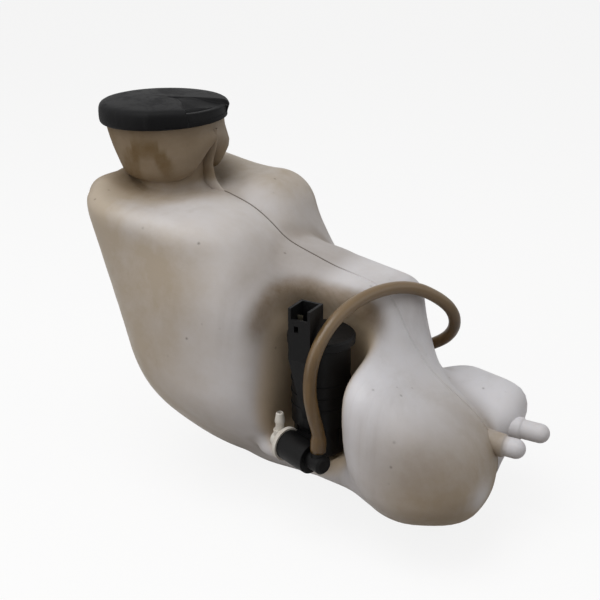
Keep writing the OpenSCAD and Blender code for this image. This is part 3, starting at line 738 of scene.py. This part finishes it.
@dataclass(frozen=True)
class StainedVinyl:
    """Hose that has gone tan and is dirty outside and inside.

    Attributes:
        tan: Colour of the clearer stretches.
        brown: Colour of the stained stretches.
        scuff_and_lit_tone: Colour of the scuffed stretches, also painted on the hose's upper stretch as light.
        speck: Colour of the specks.
        lit_heights: Heights between which the hose turns paler towards its top, in metres: painted light.
    """

    tan: Colour = tone(92, 67, 28)
    brown: Colour = tone(68, 50, 20)
    scuff_and_lit_tone: Colour = tone(128, 106, 76)
    speck: Colour = tone(40, 30, 20)
    lit_heights: tuple[float, float] = (0.1, 0.128)

    def material(self, effects: SharedEffects) -> Material:
        """Makes the material: tan and brown stretches along the hose, a paler upper stretch painted as light, scuffed
        streaks and a soft shine.

        Args:
            effects: Shared node groups.

        Returns:
            The material.
        """
        made, sheet, shader = Sheet.of_material("stained_vinyl")
        place = sheet.place()
        stain = sheet.mask(effects.grime, place, Scale=24.0, Low=0.38, High=0.66)
        # The hose's upper stretch turns paler: painted light from above.
        up = sheet.node("ShaderNodeSeparateXYZ", {"Vector": place}).outputs["Z"]
        painted_top_light = sheet.times(sheet.range(up, *self.lit_heights), 0.75)
        colour = sheet.mix(painted_top_light, sheet.mix(stain, self.tan, self.brown), self.scuff_and_lit_tone)
        scuff = sheet.mask(effects.scuffs, place, Scale=120.0, Low=0.56, High=0.72)
        colour = sheet.mix(sheet.times(scuff, 0.3), colour, self.scuff_and_lit_tone)
        specks = sheet.mask(effects.specks, place, Scale=420.0, Size=0.16, Thin=0.5)
        sheet.fill(shader, {
            "Base Color": sheet.mix(sheet.times(specks, 0.5), colour, self.speck),
            "Roughness": sheet.range(scuff, 0.0, 1.0, (0.32, 0.5)),
            "Subsurface Weight": 0.15,
            "Subsurface Radius": (0.003, 0.002, 0.001),
            "Normal": sheet.bump(sheet.noise(place, 260.0, 3.0), 0.08, 0.0004),
        })
        return made


class Finishes:
    """Every material of the part, by its record slot."""

    FINISHES = {
        "aged_polyethylene": AgedPolyethylene(),
        "cap_plastic": MouldedPlastic("worn_black_cap", tone(18, 18, 19), tone(46, 46, 47), 0.55, 0.2, 0.35, 0.1),
        "pump_plastic": MouldedPlastic(
            "black_pump_plastic", tone(12, 12, 13), tone(32, 30, 28), 0.42, 0.12, 0.25, 0.15
        ),
        "white_plastic": MouldedPlastic("white_moulding", tone(214, 210, 202), tone(150, 128, 98), 0.35, 0.08, 0.4),
        "rubber": MouldedPlastic("black_rubber", tone(24, 24, 25), tone(52, 50, 48), 0.7, 0.3, 0.4),
        "carbon": MouldedPlastic("pressed_carbon", tone(38, 38, 40), tone(60, 60, 62), 0.6, 0.3, 0.3),
        "brown_plastic": MouldedPlastic("brown_moulding", tone(92, 70, 48), tone(120, 100, 76), 0.5, 0.2, 0.3),
        "ferrite": MouldedPlastic("ground_ferrite", tone(70, 69, 70), tone(98, 96, 95), 0.6, 0.35, 0.4),
        "steel": BareMetal("drawn_steel", tone(186, 186, 184), tone(120, 116, 110)),
        "core_iron": BareMetal("laminated_iron", tone(120, 121, 124), tone(80, 76, 72), 0.4),
        "bronze": BareMetal("sintered_bronze", tone(176, 128, 70), tone(116, 82, 46), 0.45),
        "copper": BareMetal("enamelled_copper", tone(196, 112, 66), tone(132, 72, 44), 0.28),
        "tinned_brass": BareMetal("tinned_brass", tone(206, 198, 176), tone(150, 136, 104), 0.25),
        "hose_vinyl": StainedVinyl(),
    }

    def __init__(self) -> None:
        """Builds the shared groups, and each material from its finish."""
        effects = SharedEffects()
        self.by_slot = {slot: finish.material(effects) for slot, finish in self.FINISHES.items()}

    def dress(self, piece: Piece, slot: str) -> None:
        """Gives a piece the one material of its slot, and reports it.

        Args:
            piece: The piece.
            slot: Its record slot.
        """
        piece.data.materials.clear()
        piece.data.materials.append(self.by_slot[slot])
        LOG.info("%s: finished as %s", piece.name, slot)


@dataclass
class Tank:
    """The blown tank: skin, filler neck, web, pegs and the bead of the mould parting.

    Attributes:
        rows: Stations of the skin along X, without the end fans.
        columns: Points of the skin round each station.
        fan: Rows in each end fan.
        neck_x: Place of the neck's axis.
        throat_x: Place of the throat's axis.
        throat_r: Outer radius of the throat.
        form: Signed distance of the skin.
    """

    rows: int = 170
    columns: int = 288
    fan: int = 22
    neck_x: float = -101.0
    throat_x: float = -95.0
    throat_r: float = 21.0
    form: BlownForm = BlownForm()

    # Ends of the skin's spine, between which its stations lie.
    LOW_X = -90.0
    HIGH_X = 80.0
    # Radius and height of the two pegs.
    PEG_R = 5.5
    PEG_Z = 52.5
    # Radius of the bulb by the height above its underside, and that height at its top.
    BULB = np.array([
        [21.9, -0.4], [23.6, 0.0], [25.4, 0.6], [26.9, 1.6], [28.1, 3.0], [29.1, 5.0], [29.9, 7.4],
        [30.6, 10.0], [31.4, 13.0], [32.3, 17.0], [33.0, 21.0], [33.8, 26.0], [34.3, 31.0]])
    BULB_TALL = 31.0
    # Middle of the bulb's foot, height of its top, and by how much and in which direction it is fuller.
    BULB_X, BULB_TOP, FULLER, FULLER_TURN = -97.0, 209.0, 3.6, 30.0
    # Height of the bulb's underside, how far it climbs to the web, and over how many degrees.
    JAW_Z, JAW_CLIMB, JAW_WIDE = 176.5, 17.0, 24.0
    # Radius and height of the rim with its bead, from outside over the top to the inside.
    RIM = ((34.5, 211.6), (35.5, 213.1), (35.5, 214.1), (34.5, 215.6), (34.5, 216.2), (34.1, 216.6),
           (32.3, 216.6), (31.9, 216.2), (31.9, 205.0), (31.5, 199.0))
    # Radius, height and middle of the way down into the throat.
    FUNNEL = ((28.5, 196.0, -100.0), (23.0, 195.0, -97.5), (18.6, 190.0, -95.0), (18.4, 170.0, -95.0),
              (18.4, 150.0, -95.0))

    def skin(self) -> tuple[Array, Array]:
        """Works out the skin: rays from a spine inside the tank meet the form, then the grid is evened out.

        A ray leaves the spine point of its row at the angle of its column; the crossing is found by halving.
        Each point then moves towards the middle of its four neighbours and back onto the form, a few times.

        Returns:
            Rows by columns by 3, and the two end points.
        """
        tilt = np.radians(np.linspace(88.0, 4.0, self.fan))
        first, last = np.full(self.fan, self.LOW_X), np.full(self.fan, self.HIGH_X)
        x = np.concatenate([first, np.linspace(self.LOW_X, self.HIGH_X, self.rows), last])
        fan = np.concatenate([-tilt, np.zeros(self.rows), tilt[::-1]])[:, None]
        spine_y = np.interp(x, [-90, 20, 80], [4, 6, 6])
        spine_z = np.interp(x, [-90, -20, 24, 80], [116, 66, 34, 36])
        spine = np.stack([x, spine_y, spine_z], axis=-1)
        a = full_turn(self.columns)
        up = np.interp(x, [-90, 20, 60, 80], [60, 100, 70, 40])[:, None]
        down = np.interp(x, [-90, -20, 20, 80], [70, 60, 34, 36])[:, None]
        rise = np.where(np.sin(a) > 0, up * np.sin(a), down * np.sin(a))
        along = np.broadcast_to(70.0 * np.sin(fan), rise.shape)
        ray = np.stack([along, np.cos(fan) * 62.0 * np.cos(a), np.cos(fan) * rise], axis=-1)
        grid = self.meet_form(spine[:, None, :], ray)
        ends = self.meet_form(spine[[0, -1]], np.array([[-70.0, 0, 0], [70.0, 0, 0]]))
        for _ in range(14):
            middle = 0.25 * (np.roll(grid, 1, axis=1) + np.roll(grid, -1, axis=1))
            middle[1:-1] += 0.25 * (grid[2:] + grid[:-2])
            middle[0] += 0.25 * (grid[1] + ends[0])
            middle[-1] += 0.25 * (grid[-2] + ends[1])
            grid = self.settle(grid + 0.5 * (middle - grid))
        return self.settle(grid), ends

    @staticmethod
    def halve(outside: Callable[[Array], Array], low: Array, high: Array, times: int) -> tuple[Array, Array]:
        """Narrows intervals that start inside and end outside, by halving them.

        Args:
            outside: Says which of some values lie outside.
            low: Starts of the intervals.
            high: Ends of the intervals.
            times: How often they are halved.

        Returns:
            The narrowed starts and ends.
        """
        for _ in range(times):
            middle = 0.5 * (low + high)
            past = outside(middle)
            low, high = np.where(past, low, middle), np.where(past, middle, high)
        return low, high

    def meet_form(self, origin: Array, ray: Array) -> Array:
        """Where rays from inside leave the form, by halving the interval of 0 to 2.2 ray lengths.

        Args:
            origin: Starts of the rays.
            ray: Directions of the rays, with their lengths.

        Returns:
            One point per ray.
        """
        none = np.zeros(np.broadcast_shapes(origin.shape, ray.shape)[:-1])
        low, high = self.halve(lambda t: self.form(origin + t[..., None] * ray) > 0, none, none + 2.2, 18)
        return origin + (0.5 * (low + high))[..., None] * ray

    def drop(self, xy: Array) -> Array:
        """Height of the shoulder under points, by halving between the chamber and above the dish."""
        low, high = np.full(len(xy), 140.0), np.full(len(xy), 200.0)
        return self.halve(lambda z: self.form(np.column_stack([xy, z])) > 0, low, high, 20)[0]

    def settle(self, p: Array) -> Array:
        """Moves points onto the form along its slope, and no lower than the base.

        Args:
            p: Points near the form.

        Returns:
            The moved points.
        """
        p = p - self.form(p)[..., None] * self.form.slope(p)
        p[..., 2] = np.maximum(p[..., 2], 0.0)
        return p

    def neck(self) -> Array:
        """Lofted neck: rings whose middle moves from the throat's axis to the neck's axis.

        Each ring has a radius, a height and a middle. The lowest rings lie on the shoulder and rise in a concave
        flare to the throat. The bulb's underside climbs towards the web by a jaw height that depends on the angle,
        and half way up the bulb is fuller on one side.

        Returns:
            Rows by columns by 3.
        """
        a = full_turn(200)
        toward = np.stack([np.cos(a), np.sin(a)], axis=-1)
        from_web = np.abs((np.degrees(a) + 180.0) % 360.0 - 180.0)
        jaw = self.JAW_Z + self.JAW_CLIMB * np.exp(-((from_web / self.JAW_WIDE) ** 1.6))
        axis = np.array([self.throat_x, 0.0])
        foot_r = self.throat_r + 9.0
        foot = self.drop(axis + foot_r * toward) - 0.4
        root = np.minimum(self.drop(axis + self.throat_r * toward), jaw - 3.0)
        above_root = 0.6 * root + 0.4 * jaw
        rings = []
        for t in np.linspace(0.0, 1.0, 10):
            r = (1 - t) ** 2 * foot_r + 2 * t * (1 - t) * self.throat_r + t**2 * self.throat_r
            z = (1 - t) ** 2 * foot + 2 * t * (1 - t) * root + t**2 * above_root
            rings.append((r, z, self.throat_x))
        for t in (0.5, 0.8, 0.95):
            rings.append((self.throat_r, above_root * (1 - t) + (jaw - 0.6) * t, self.throat_x))
        fuller = np.maximum(np.cos(a - math.radians(self.FULLER_TURN)), 0.0) ** 2
        for r, rise in self.BULB:
            share = rise / self.BULB_TALL
            r = r + self.FULLER * fuller * math.exp(-(((share - 0.5) / 0.28) ** 2))
            z = jaw + (self.BULB_TOP - jaw) * np.clip(share, 0.0, 1.0) + min(rise, 0.0)
            middle = self.BULB_X + (self.neck_x - self.BULB_X) * float(ease(0.0, 1.0, np.array(share)))
            rings.append((r, z, middle))
        for r, z, middle in (*((r, z, self.neck_x) for r, z in self.RIM), *self.FUNNEL):
            rings.append((r, np.full_like(a, z), middle))
        return np.stack([
            np.stack([m + r * toward[:, 0], r * toward[:, 1], np.broadcast_to(z, a.shape)], axis=-1)
            for r, z, m in rings
        ])

    def web(self) -> Array:
        """Rounded fin on the parting plane: an oval carried down the throat's side onto the shoulder.

        Returns:
            Rows by columns by 3.
        """
        stations = 40
        path = smooth_line(np.array([[-66.5, 0, 206.0], [-67.5, 0, 198.0], [-71.0, 0, 190.0], [-72.5, 0, 183.0],
                                     [-70.5, 0, 176.0], [-66.0, 0, 171.0], [-60.0, 0, 167.5]]), stations)
        run = unit(np.gradient(path, axis=0))
        across = np.array([0.0, 1.0, 0.0])
        out = np.cross(run, across)
        a = full_turn(24)
        thick = np.linspace(1.6, 1.4, stations)[:, None]
        deep = np.interp(np.linspace(0, 1, stations), [0, 0.3, 0.6, 1.0], [2.0, 3.5, 5.0, 2.0])[:, None]
        wide, tall = (deep * np.cos(a))[..., None], (thick * np.sin(a))[..., None]
        return path[:, None, :] + wide * out[:, None, :] + tall * across

    def peg(self, y: float, face_x: float, long: float) -> Array:
        """Domed peg along X with a thicker root: radius by length from inside the lobe to the tip.

        Args:
            y: Place of the peg's axis along Y.
            face_x: Where the thicker root ends.
            long: Straight length ahead of the root.

        Returns:
            Rows by columns by 3.
        """
        root = np.array([[8.6, -22.0], [7.4, -12.0], [6.8, -7.0], [6.5, -3.0], [6.45, -0.8], [6.2, -0.2], [5.7, 0.1],
                         [self.PEG_R, 0.6], [self.PEG_R, long * 0.5]])
        dome = np.radians(np.linspace(0.0, 86.0, 12))
        cap = np.column_stack([self.PEG_R * np.cos(dome), long + self.PEG_R * np.sin(dome)])
        return revolve(np.concatenate([root, cap]), (face_x, y, self.PEG_Z), (1.0, 0.0, 0.0), 48)

    def bead(self, grid: Array) -> Array:
        """Thin ridge of the mould parting: a flat oval carried along the line y = 0 of the skin.

        Args:
            grid: The skin's points.

        Returns:
            Rows by columns by 3.
        """
        upper = grid[:, 1:self.columns // 2]
        line = np.array([[np.interp(0.0, -row[:, 1], row[:, k]) for k in range(3)] for row in upper])
        keep = (line[:, 0] > -62.0) & (line[:, 0] < 117.0)
        path = smooth_line(line[keep], 300)
        path[:, 1] = 0.0
        path = self.settle(path)
        slope = self.form.slope(path)
        side = unit(np.cross(np.gradient(path, axis=0), slope))
        a = full_turn(10)[None, :, None]
        wide, tall = 0.55 * np.cos(a) * side[:, None, :], 0.35 * np.sin(a) * slope[:, None, :]
        return path[:, None, :] + wide + tall

    def dirt_and_painted_light(self, p: Array) -> dict[str, Array]:
        """Where the tank is dirty, dulled or marked by its seam, and where light and shade are painted on it, from the
        form and from places on it.

        Each mark is a sum of smooth steps, which rise or fall between two distances, heights or lengths.

        Args:
            p: Points of the mesh, in millimetres.

        Returns:
            Values by attribute name, one of each per point: grime (dirt with painted shade), aged (dulling with
            painted shade and light), seam and sheltered (painted light).
        """
        x, y, z = p[:, 0], p[:, 1], p[:, 2]
        grime = 0.35 * ease(0.006, 0.05, self.form.hollowness(p, 5.0))
        throat = np.hypot(x - self.throat_x, y)
        near_neck = ease(50.0, 24.0, throat) * ease(150.0, 160.0, z) * ease(184.0, 174.0, z)
        grime += near_neck * (0.35 + 0.5 * ease(-80.0, -108.0, x) + 0.3 * ease(0.0, 20.0, y))
        bulb = ease(173.0, 182.0, z) * ease(41.0, 37.0, np.hypot(x - self.neck_x, y))
        grime += bulb * (0.82 + 0.3 * ease(-106.0, -124.0, x) - 0.15 * ease(-100.0, -78.0, x))
        pocket = self.form.pocket(p)
        band = ease(17.0, 7.0, pocket) * ease(-5.0, 8.0, pocket)
        rim = band * (ease(100.0, 116.0, z) * ease(58.0, 40.0, x) + 0.4 * ease(62.0, 78.0, z) * ease(16.0, 4.0, x))
        # Paler in the front of the pump's pocket: painted light against the pocket's shade.
        painted_pocket_light = ease(7.0, 2.0, pocket) * ease(-4.0, -14.0, y)
        corner = np.exp(-(((x - 2.0) / 9.0) ** 2) - ((z - 62.0) / 14.0) ** 2) * ease(9.0, 3.0, np.abs(pocket))
        grime += rim * (0.7 + 0.75 * ease(0.0, 22.0, x)) + 0.4 * corner
        # Lower and right part of the near lobe, browner and darker in both grime and aged: painted shade where less
        # light falls, with some dirt.
        lobe_shade_and_dirt = ease(46.0, 104.0, x) * ease(104.0, 44.0, z) * ease(15.0, 0.0, y) * ease(121.0, 117.0, x)
        # Slope up to the saddle, darkened with brown: painted shade.
        slope = ease(-30.0, -12.0, x) * ease(26.0, 8.0, x) * ease(125.0, 140.0, z)
        patch = np.exp(-(((x - 95.0) / 17.0) ** 2) - ((y + 63.0) / 20.0) ** 2 - ((z - 69.0) / 15.0) ** 2)
        grime += 0.38 * lobe_shade_and_dirt + 0.42 * slope + 0.4 * patch
        # Less dulled on the top of the shoulder by the neck, so paler there: painted light.
        crown = ease(150.0, 172.0, z) * ease(-112.0, -66.0, x)
        aged_and_painted_light = 0.12 * ease(60.0, 40.0, x) + 0.85 * ease(5.0, -78.0, x) * (1.0 - 0.75 * crown)
        aged_and_painted_light += 0.55 * ease(5.0, 30.0, y) * ease(110.0, 140.0, z) * ease(-20.0, -40.0, x)
        aged_and_painted_light += 0.8 * lobe_shade_and_dirt + bulb + 0.3 * near_neck
        seam = 0.1 + 0.9 * ease(34.0, 6.0, x)
        marks = {"grime": grime, "aged_and_painted_light": aged_and_painted_light, "seam": seam, "painted_pocket_light": 0.85 * painted_pocket_light}
        return {name: np.clip(values, 0.0, 1.0) for name, values in marks.items()}

    @staticmethod
    def spread(values: Array) -> Array:
        """Softens values on the skin's grid: each takes half of its four neighbours' mean, eight times over.

        Args:
            values: Rows by columns.

        Returns:
            The softened values.
        """
        for _ in range(8):
            rows = np.pad(values, ((1, 1), (0, 0)), mode="edge")
            beside = 0.25 * (rows[2:] + rows[:-2] + np.roll(values, 1, axis=1) + np.roll(values, -1, axis=1))
            values = 0.5 * values + 0.5 * beside
        return values

    def build(self, finishes: Finishes) -> Piece:
        """Builds the tank and its neck as one piece in place of their solids, with its dirt and its painted light and
        shade as attributes.

        Args:
            finishes: Materials of the part.

        Returns:
            The tank.
        """
        grid, ends = self.skin()

        def throat_hole(middle: Array) -> Array:
            """Faces of the skin inside the throat."""
            from_axis = np.hypot(middle[:, 0] - self.throat_x, middle[:, 1])
            return (from_axis < self.throat_r - 1.0) & (middle[:, 2] > 140.0)

        surface = Surface()
        surface.grid(grid, poles=(ends[0], ends[1]), drop=throat_hole)
        surface.grid(self.neck())
        surface.grid(self.web())
        for y, face_x, long in ((0.0, 118.6, 6.0), (23.0, 120.5, 10.0)):
            tip = np.array([face_x + long + self.PEG_R, y, self.PEG_Z])
            surface.grid(self.peg(y, face_x, long), poles=(None, tip))
        before_bead = surface.count
        surface.grid(self.bead(grid))
        points = np.concatenate(surface.points)
        marks = self.dirt_and_painted_light(points)
        marks["seam"][:before_bead] = 0.0
        for name in ("grime", "painted_pocket_light"):
            skin = marks[name][: grid.shape[0] * grid.shape[1]]
            skin[:] = self.spread(skin.reshape(grid.shape[:2])).ravel()
        piece = surface.build("tank_shell", Body.TANK, Slot.TANK)
        for name, values in marks.items():
            piece.data.attributes.new(name, "FLOAT", "POINT").data.foreach_set("value", values.astype(np.float32))
        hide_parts("tank", "filler_neck")
        finishes.dress(piece, Slot.TANK.value)
        return piece


@dataclass
class FillerCap:
    """The lift-off cap with its finger notch.

    Attributes:
        centre_x: Place of the cap's axis.
        base_z: Height of the underside of its top plate.
        radius: Outer radius.
        edge: Height of the top at the rim, before its shoulder.
        rise: How much higher its middle is.
        skirt: Depth of the skirt below the top plate.
        notch: Directions of the notch's two walls about the axis, in degrees.
        wall_half: Half of what each wall takes up, in degrees.
        lip: Distance of the tongue's lip from the axis.
        lip_turn: Direction that the lip faces, in degrees.
        step_turn: Direction along which the curved step beside the tongue is drawn, in degrees.
        facet_turn: Direction of the flat facet of the rim, in degrees.
        facet_half: Degrees from the facet's middle to its ends.
        short_turn: Direction in which the skirt is shortest, in degrees.
        short_share: Half of the share by which it is shorter there.
    """

    centre_x: float = -101.0
    base_z: float = 216.95
    radius: float = 38.05
    edge: float = 2.2
    rise: float = 1.6
    skirt: float = 9.5
    notch: tuple[float, float] = (-33.0, 29.0)
    wall_half: float = 1.2
    lip: float = 29.6
    lip_turn: float = -12.0
    step_turn: float = -60.0
    facet_turn: float = -50.0
    facet_half: float = 17.0
    short_turn: float = 30.0
    short_share: float = 0.15

    def crown(self, r: Array) -> Array:
        """Height of the domed top: its edge, and a rise times one less the squared share of the radius."""
        return self.edge + self.rise * (1.0 - (r / self.radius) ** 2)

    def shape(self) -> Array:
        """Polar grid of the cap: a half profile turned about the axis, changed to a second profile in the notch.

        The plain profile runs from the top's middle over a tight rounded shoulder, down the skirt, and back inside
        to the plug ring. In the notch the top slopes down as a tongue to a straight lip, below it a ledge runs out
        to the skirt, which is set back. Each direction takes the one or the other, with narrow walls between them,
        and on the top the step beside the tongue follows a curve from the middle to the rim. Beside the notch a chord
        flattens the rim. The skirt is shorter on the notch's side by a cosine of the direction.

        Returns:
            Rows by columns by 3.
        """
        low = -self.skirt
        a = full_turn(480)
        turn = (np.degrees(a) + 180.0) % 360.0 - 180.0
        rows = 40
        rim = rows + 12
        top_r = np.linspace(1.0, 28.0, rows)
        shoulder = np.array([[30.0, 2.8], [32.0, 2.65], [33.8, 2.45], [35.4, 2.05], [36.6, 1.35], [37.4, 0.3],
                             [37.8, -1.1], [38.0, -3.0], [38.0, -5.4], [37.9, -7.4], [37.6, low + 0.9],
                             [37.1, low + 0.2]])
        inside = np.array([[36.4, low], [36.0, low + 0.3], [35.85, low + 1.0], [35.85, 0.0], [31.6, 0.0],
                           [31.55, -4.6], [31.2, -5.0], [30.3, -5.0], [29.95, -4.6], [29.95, 0.0], [15.0, 0.0],
                           [1.0, 0.0]])
        plain = np.concatenate([np.column_stack([top_r, self.crown(top_r)]), shoulder, inside])[:, None, :]
        plain = np.broadcast_to(plain, (len(plain), len(a), 2)).copy()
        off = turn - self.facet_turn
        flat = math.cos(math.radians(self.facet_half)) / np.cos(np.radians(off))
        chord = np.where(np.abs(off) < self.facet_half, flat, 1.0)
        plain[:rim, :, 0] *= 1.0 - ease(30.0, 36.0, plain[:rim, :, 0]) * (1.0 - chord)
        lip = np.clip(self.lip / np.cos(np.radians(np.clip(turn - self.lip_turn, -60.0, 60.0))), 20.0, 36.6)
        tongue_r = np.linspace(0.0, 1.0, rows)[:, None] * (lip - 1.0) + 1.0
        bearing = np.radians(turn - self.step_turn)
        near, right = tongue_r * np.cos(bearing), tongue_r * np.sin(bearing)
        past = right - np.interp(near, [0.0, 1.0, 3.4, 9.3, 16.9, 26.2, 38.0], [0.0, 1.6, 6.6, 10.4, 12.7, 14.2, 15.5])
        sink = 2.7 * ease(9.0, 27.0, tongue_r * np.cos(np.radians(turn - self.lip_turn)))
        sink += 0.8 * ease(18.0, 2.0, past) * ease(1.5, 5.0, tongue_r)
        tongue_z = self.crown(tongue_r) - sink
        edge_z = tongue_z[-1]
        back = np.minimum(lip - 2.2, 33.5)
        ledge = [(lip + 0.25, edge_z - 0.4), (lip + 0.2, edge_z - 1.1), (back, edge_z - 1.7), (back, -5.2),
                 (0.6 * back + 14.4, -5.6), (0.2 * back + 28.9, -5.8), (36.2, -6.0), (36.55, -6.4), (36.55, -7.0),
                 (36.5, -7.8), (36.5, low + 0.9), (36.5, low + 0.2)]
        below_lip = [np.stack(np.broadcast_arrays(r, z, lip)[:2], axis=-1) for r, z in ledge]
        sunk = np.concatenate([np.stack([tongue_r, tongue_z], axis=-1), np.stack(below_lip), plain[rim:]])
        inner, outer = self.notch
        opens = ease(inner - self.wall_half, inner + self.wall_half, turn)
        closes = ease(outer + self.wall_half, outer - self.wall_half, turn)
        notch, under = opens * closes, opens * ease(outer + 26.0, outer + 23.0, turn)
        row = np.arange(len(plain))
        below = ((row >= rows + 7) & (row < rim)).astype(float)[:, None]
        mix = np.maximum(notch[None, :] * (row < rim)[:, None], under[None, :] * below)[..., None]
        mix[:rows, :, 0] = ease(-0.9, 0.9, past) * closes
        profile = plain + mix * (sunk - plain)
        r, z = profile[..., 0], profile[..., 1]
        short = self.short_share * (1.0 + np.cos(np.radians(turn - self.short_turn)))
        z = np.where((r > 35.0) & (z < 0.0), z * (1.0 - short), z)
        return np.stack([self.centre_x + r * np.cos(a), r * np.sin(a), self.base_z + z], axis=-1)

    def build(self, finishes: Finishes) -> Piece:
        """Builds the cap in place of its solid.

        Args:
            finishes: Materials of the part.

        Returns:
            The cap.
        """
        surface = Surface()
        under = np.array([self.centre_x, 0.0, self.base_z])
        over = under + np.array([0.0, 0.0, self.edge + self.rise])
        surface.grid(self.shape(), poles=(over, under))
        piece = surface.build("lift_off_cap", Body.CAP, Slot.CAP)
        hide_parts("filler_cap")
        finishes.dress(piece, Slot.CAP.value)
        return piece


@dataclass
class Hose:
    """The tan hose from the front barb over the saddle, and the joiner in its far end.

    Attributes:
        diameter: Outer diameter.
        bore: Inner diameter.
        swell: Extra radius over the barb.
    """

    diameter: float = 7.0
    bore: float = 5.2
    swell: float = 0.7

    ROUTE = np.array([
        [38, -64, 58], [38, -64, 68], [36.6, -66.5, 79.5], [34.8, -67.5, 92], [33.9, -64.5, 105], [34.8, -57.5, 116.5],
        [36.7, -46.5, 125], [39.8, -32, 130.2], [44, -15.5, 132], [50, 1, 131], [56.8, 14.5, 127], [63.2, 24.5, 120.5],
        [68.3, 31.5, 113.5], [70.5, 36.2, 106.5], [70, 40, 99.5], [67.3, 43.2, 93], [62.7, 45.4, 87], [56.3, 46.5, 82],
        [48, 47.5, 77], [39, 49, 72], [30, 51.5, 67.5]])

    def build(self, finishes: Finishes, connector: Piece) -> Piece:
        """Args:
            finishes: Materials of the part.
            connector: The joiner in its far end; not used.

        Returns:
            The hose.
        """
        path = smooth_line(self.ROUTE, 150)
        run = run_length(path)
        outer = self.diameter / 2 + self.swell * ease(9.5, 6.5, run)
        inner = np.full(len(path), self.bore / 2)
        skin = tube(path, outer, 20)
        bore = tube(path, inner, 20)[::-1]
        surface = Surface()
        surface.grid(np.concatenate([skin, bore]), loop=True)
        piece = surface.build("outlet_hose", Body.TANK, Slot.HOSE)
        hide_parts("hose")
        finishes.dress(piece, Slot.HOSE.value)
        return piece


@dataclass
class Studio:
    """Camera, lights, floor and pale surroundings.

    Attributes:
        azimuth: Degrees of the camera round the part, from its front towards the pegs.
        elevation: Degrees of the camera above the horizon.
        distance: Distance of the camera from its target, in metres.
        lens: Focal length on a 36 mm sensor.
        floor_white: Share of plain white in the floor that the camera sees. The rest shows the shadow.
    """

    azimuth: float = 30.0
    elevation: float = 22.0
    distance: float = 0.62
    lens: float = 64.38
    floor_white: float = 0.86

    TARGET = Vector((-0.010, 0.0, 0.112))

    @staticmethod
    def aim(thing: Piece, place: Vector, ahead: Vector) -> None:
        """Puts a camera or lamp in its place, and turns it to look ahead."""
        thing.location, thing.rotation_mode = place, "QUATERNION"
        thing.rotation_quaternion = ahead.to_track_quat("-Z", "Y")

    def camera(self) -> None:
        """Makes the camera and makes it the scene's own."""
        a, e = math.radians(self.azimuth), math.radians(self.elevation)
        back = Vector((math.sin(a) * math.cos(e), -math.cos(a) * math.cos(e), math.sin(e)))
        data = bpy.data.cameras.new("camera")
        data.lens, data.sensor_width = self.lens, 36.0
        data.clip_start, data.clip_end = 0.01, 20.0
        camera = new_object("camera", data)
        self.aim(camera, self.TARGET + back * self.distance, -back)
        bpy.context.scene.camera = camera

    def lamp(self, name: str, place: Sequence[float], size: float, watts: float) -> None:
        """Adds one soft square lamp that looks at the part.

        Args:
            name: Name of the lamp.
            place: Where it hangs, in metres.
            size: Side of the square, in metres.
            watts: Its power.
        """
        data = bpy.data.lights.new(name, "AREA")
        data.size, data.energy = size, watts
        self.aim(new_object(name, data), Vector(place), self.TARGET - Vector(place))

    def surroundings(self) -> None:
        """Sets a dim soft world for light, and a pale one for camera, glossy and transmitted rays."""
        world = bpy.data.worlds.new("white_surroundings")
        world.use_nodes = True
        bpy.context.scene.world = world
        sheet = Sheet(world.node_tree)
        light = world.node_tree.nodes["Background"]
        sheet.fill(light, {"Color": (1.0, 0.98, 0.96, 1.0), "Strength": 0.32})
        pale = sheet.node("ShaderNodeBackground", {"Strength": 1.0})
        path = sheet.node("ShaderNodeLightPath")
        rays = sheet.work("MAXIMUM", path.outputs["Is Camera Ray"], path.outputs["Is Glossy Ray"])
        rays = sheet.work("MAXIMUM", rays, path.outputs["Is Transmission Ray"])
        seen = sheet.blend(rays, light.outputs[0], pale.outputs[0])
        sheet.fill(world.node_tree.nodes["World Output"], {"Surface": seen})

    def floor(self) -> None:
        """Makes a pale floor a little below the part, far wider than the view, whiter for camera rays."""
        side = np.linspace(-3.0, 3.0, 3)
        x, y = np.meshgrid(side, side)
        points = np.stack([x, y, np.full_like(x, -0.0004)], axis=-1).reshape(-1, 3)
        quads = [[i, i + 1, i + 4, i + 3] for i in (0, 1, 3, 4)]
        mesh = bpy.data.meshes.new("floor")
        mesh.from_pydata(points.tolist(), [], quads)
        floor = new_object("floor", mesh)
        made, sheet, shader = Sheet.of_material("pale_floor")
        pale = sheet.mix(sheet.noise(sheet.place(), 3.0), tone(243, 243, 243), tone(250, 250, 250))
        path = sheet.node("ShaderNodeLightPath")
        shaded = sheet.mix(path.outputs["Is Diffuse Ray"], pale, tone(150, 144, 138))
        sheet.fill(shader, {"Base Color": shaded, "Roughness": 0.9})
        glow = sheet.node("ShaderNodeEmission", {"Strength": 1.0})
        share = sheet.times(path.outputs["Is Camera Ray"], self.floor_white)
        seen = sheet.blend(share, shader.outputs[0], glow.outputs[0])
        sheet.fill(made.node_tree.nodes["Material Output"], {"Surface": seen})
        mesh.materials.append(made)

    def build(self) -> None:
        """Sets up the whole studio."""
        bpy.context.scene.view_settings.view_transform = "Standard"
        self.camera()
        self.surroundings()
        self.floor()
        self.lamp("top_lamp", (-0.15, -0.35, 1.1), 0.8, 6.3)
        self.lamp("front_lamp", (-0.6, -1.0, 0.7), 0.9, 3.4)
        self.lamp("side_lamp", (0.9, 0.3, 0.6), 0.7, 1.0)


def main() -> None:
    """Loads the frame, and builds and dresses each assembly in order."""
    logging.basicConfig(level=logging.INFO, format="%(message)s")
    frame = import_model()
    Studio().build()
    finishes = Finishes()
    for part in frame["record"]["subparts"]:
        finishes.dress(frame["nodes"][part["node"]], part["material_slot"])
    Hose().build(finishes, frame["nodes"]["hose_connector"])
    Tank().build(finishes)
    FillerCap().build(finishes)


if __name__ == "__main__":
    main()
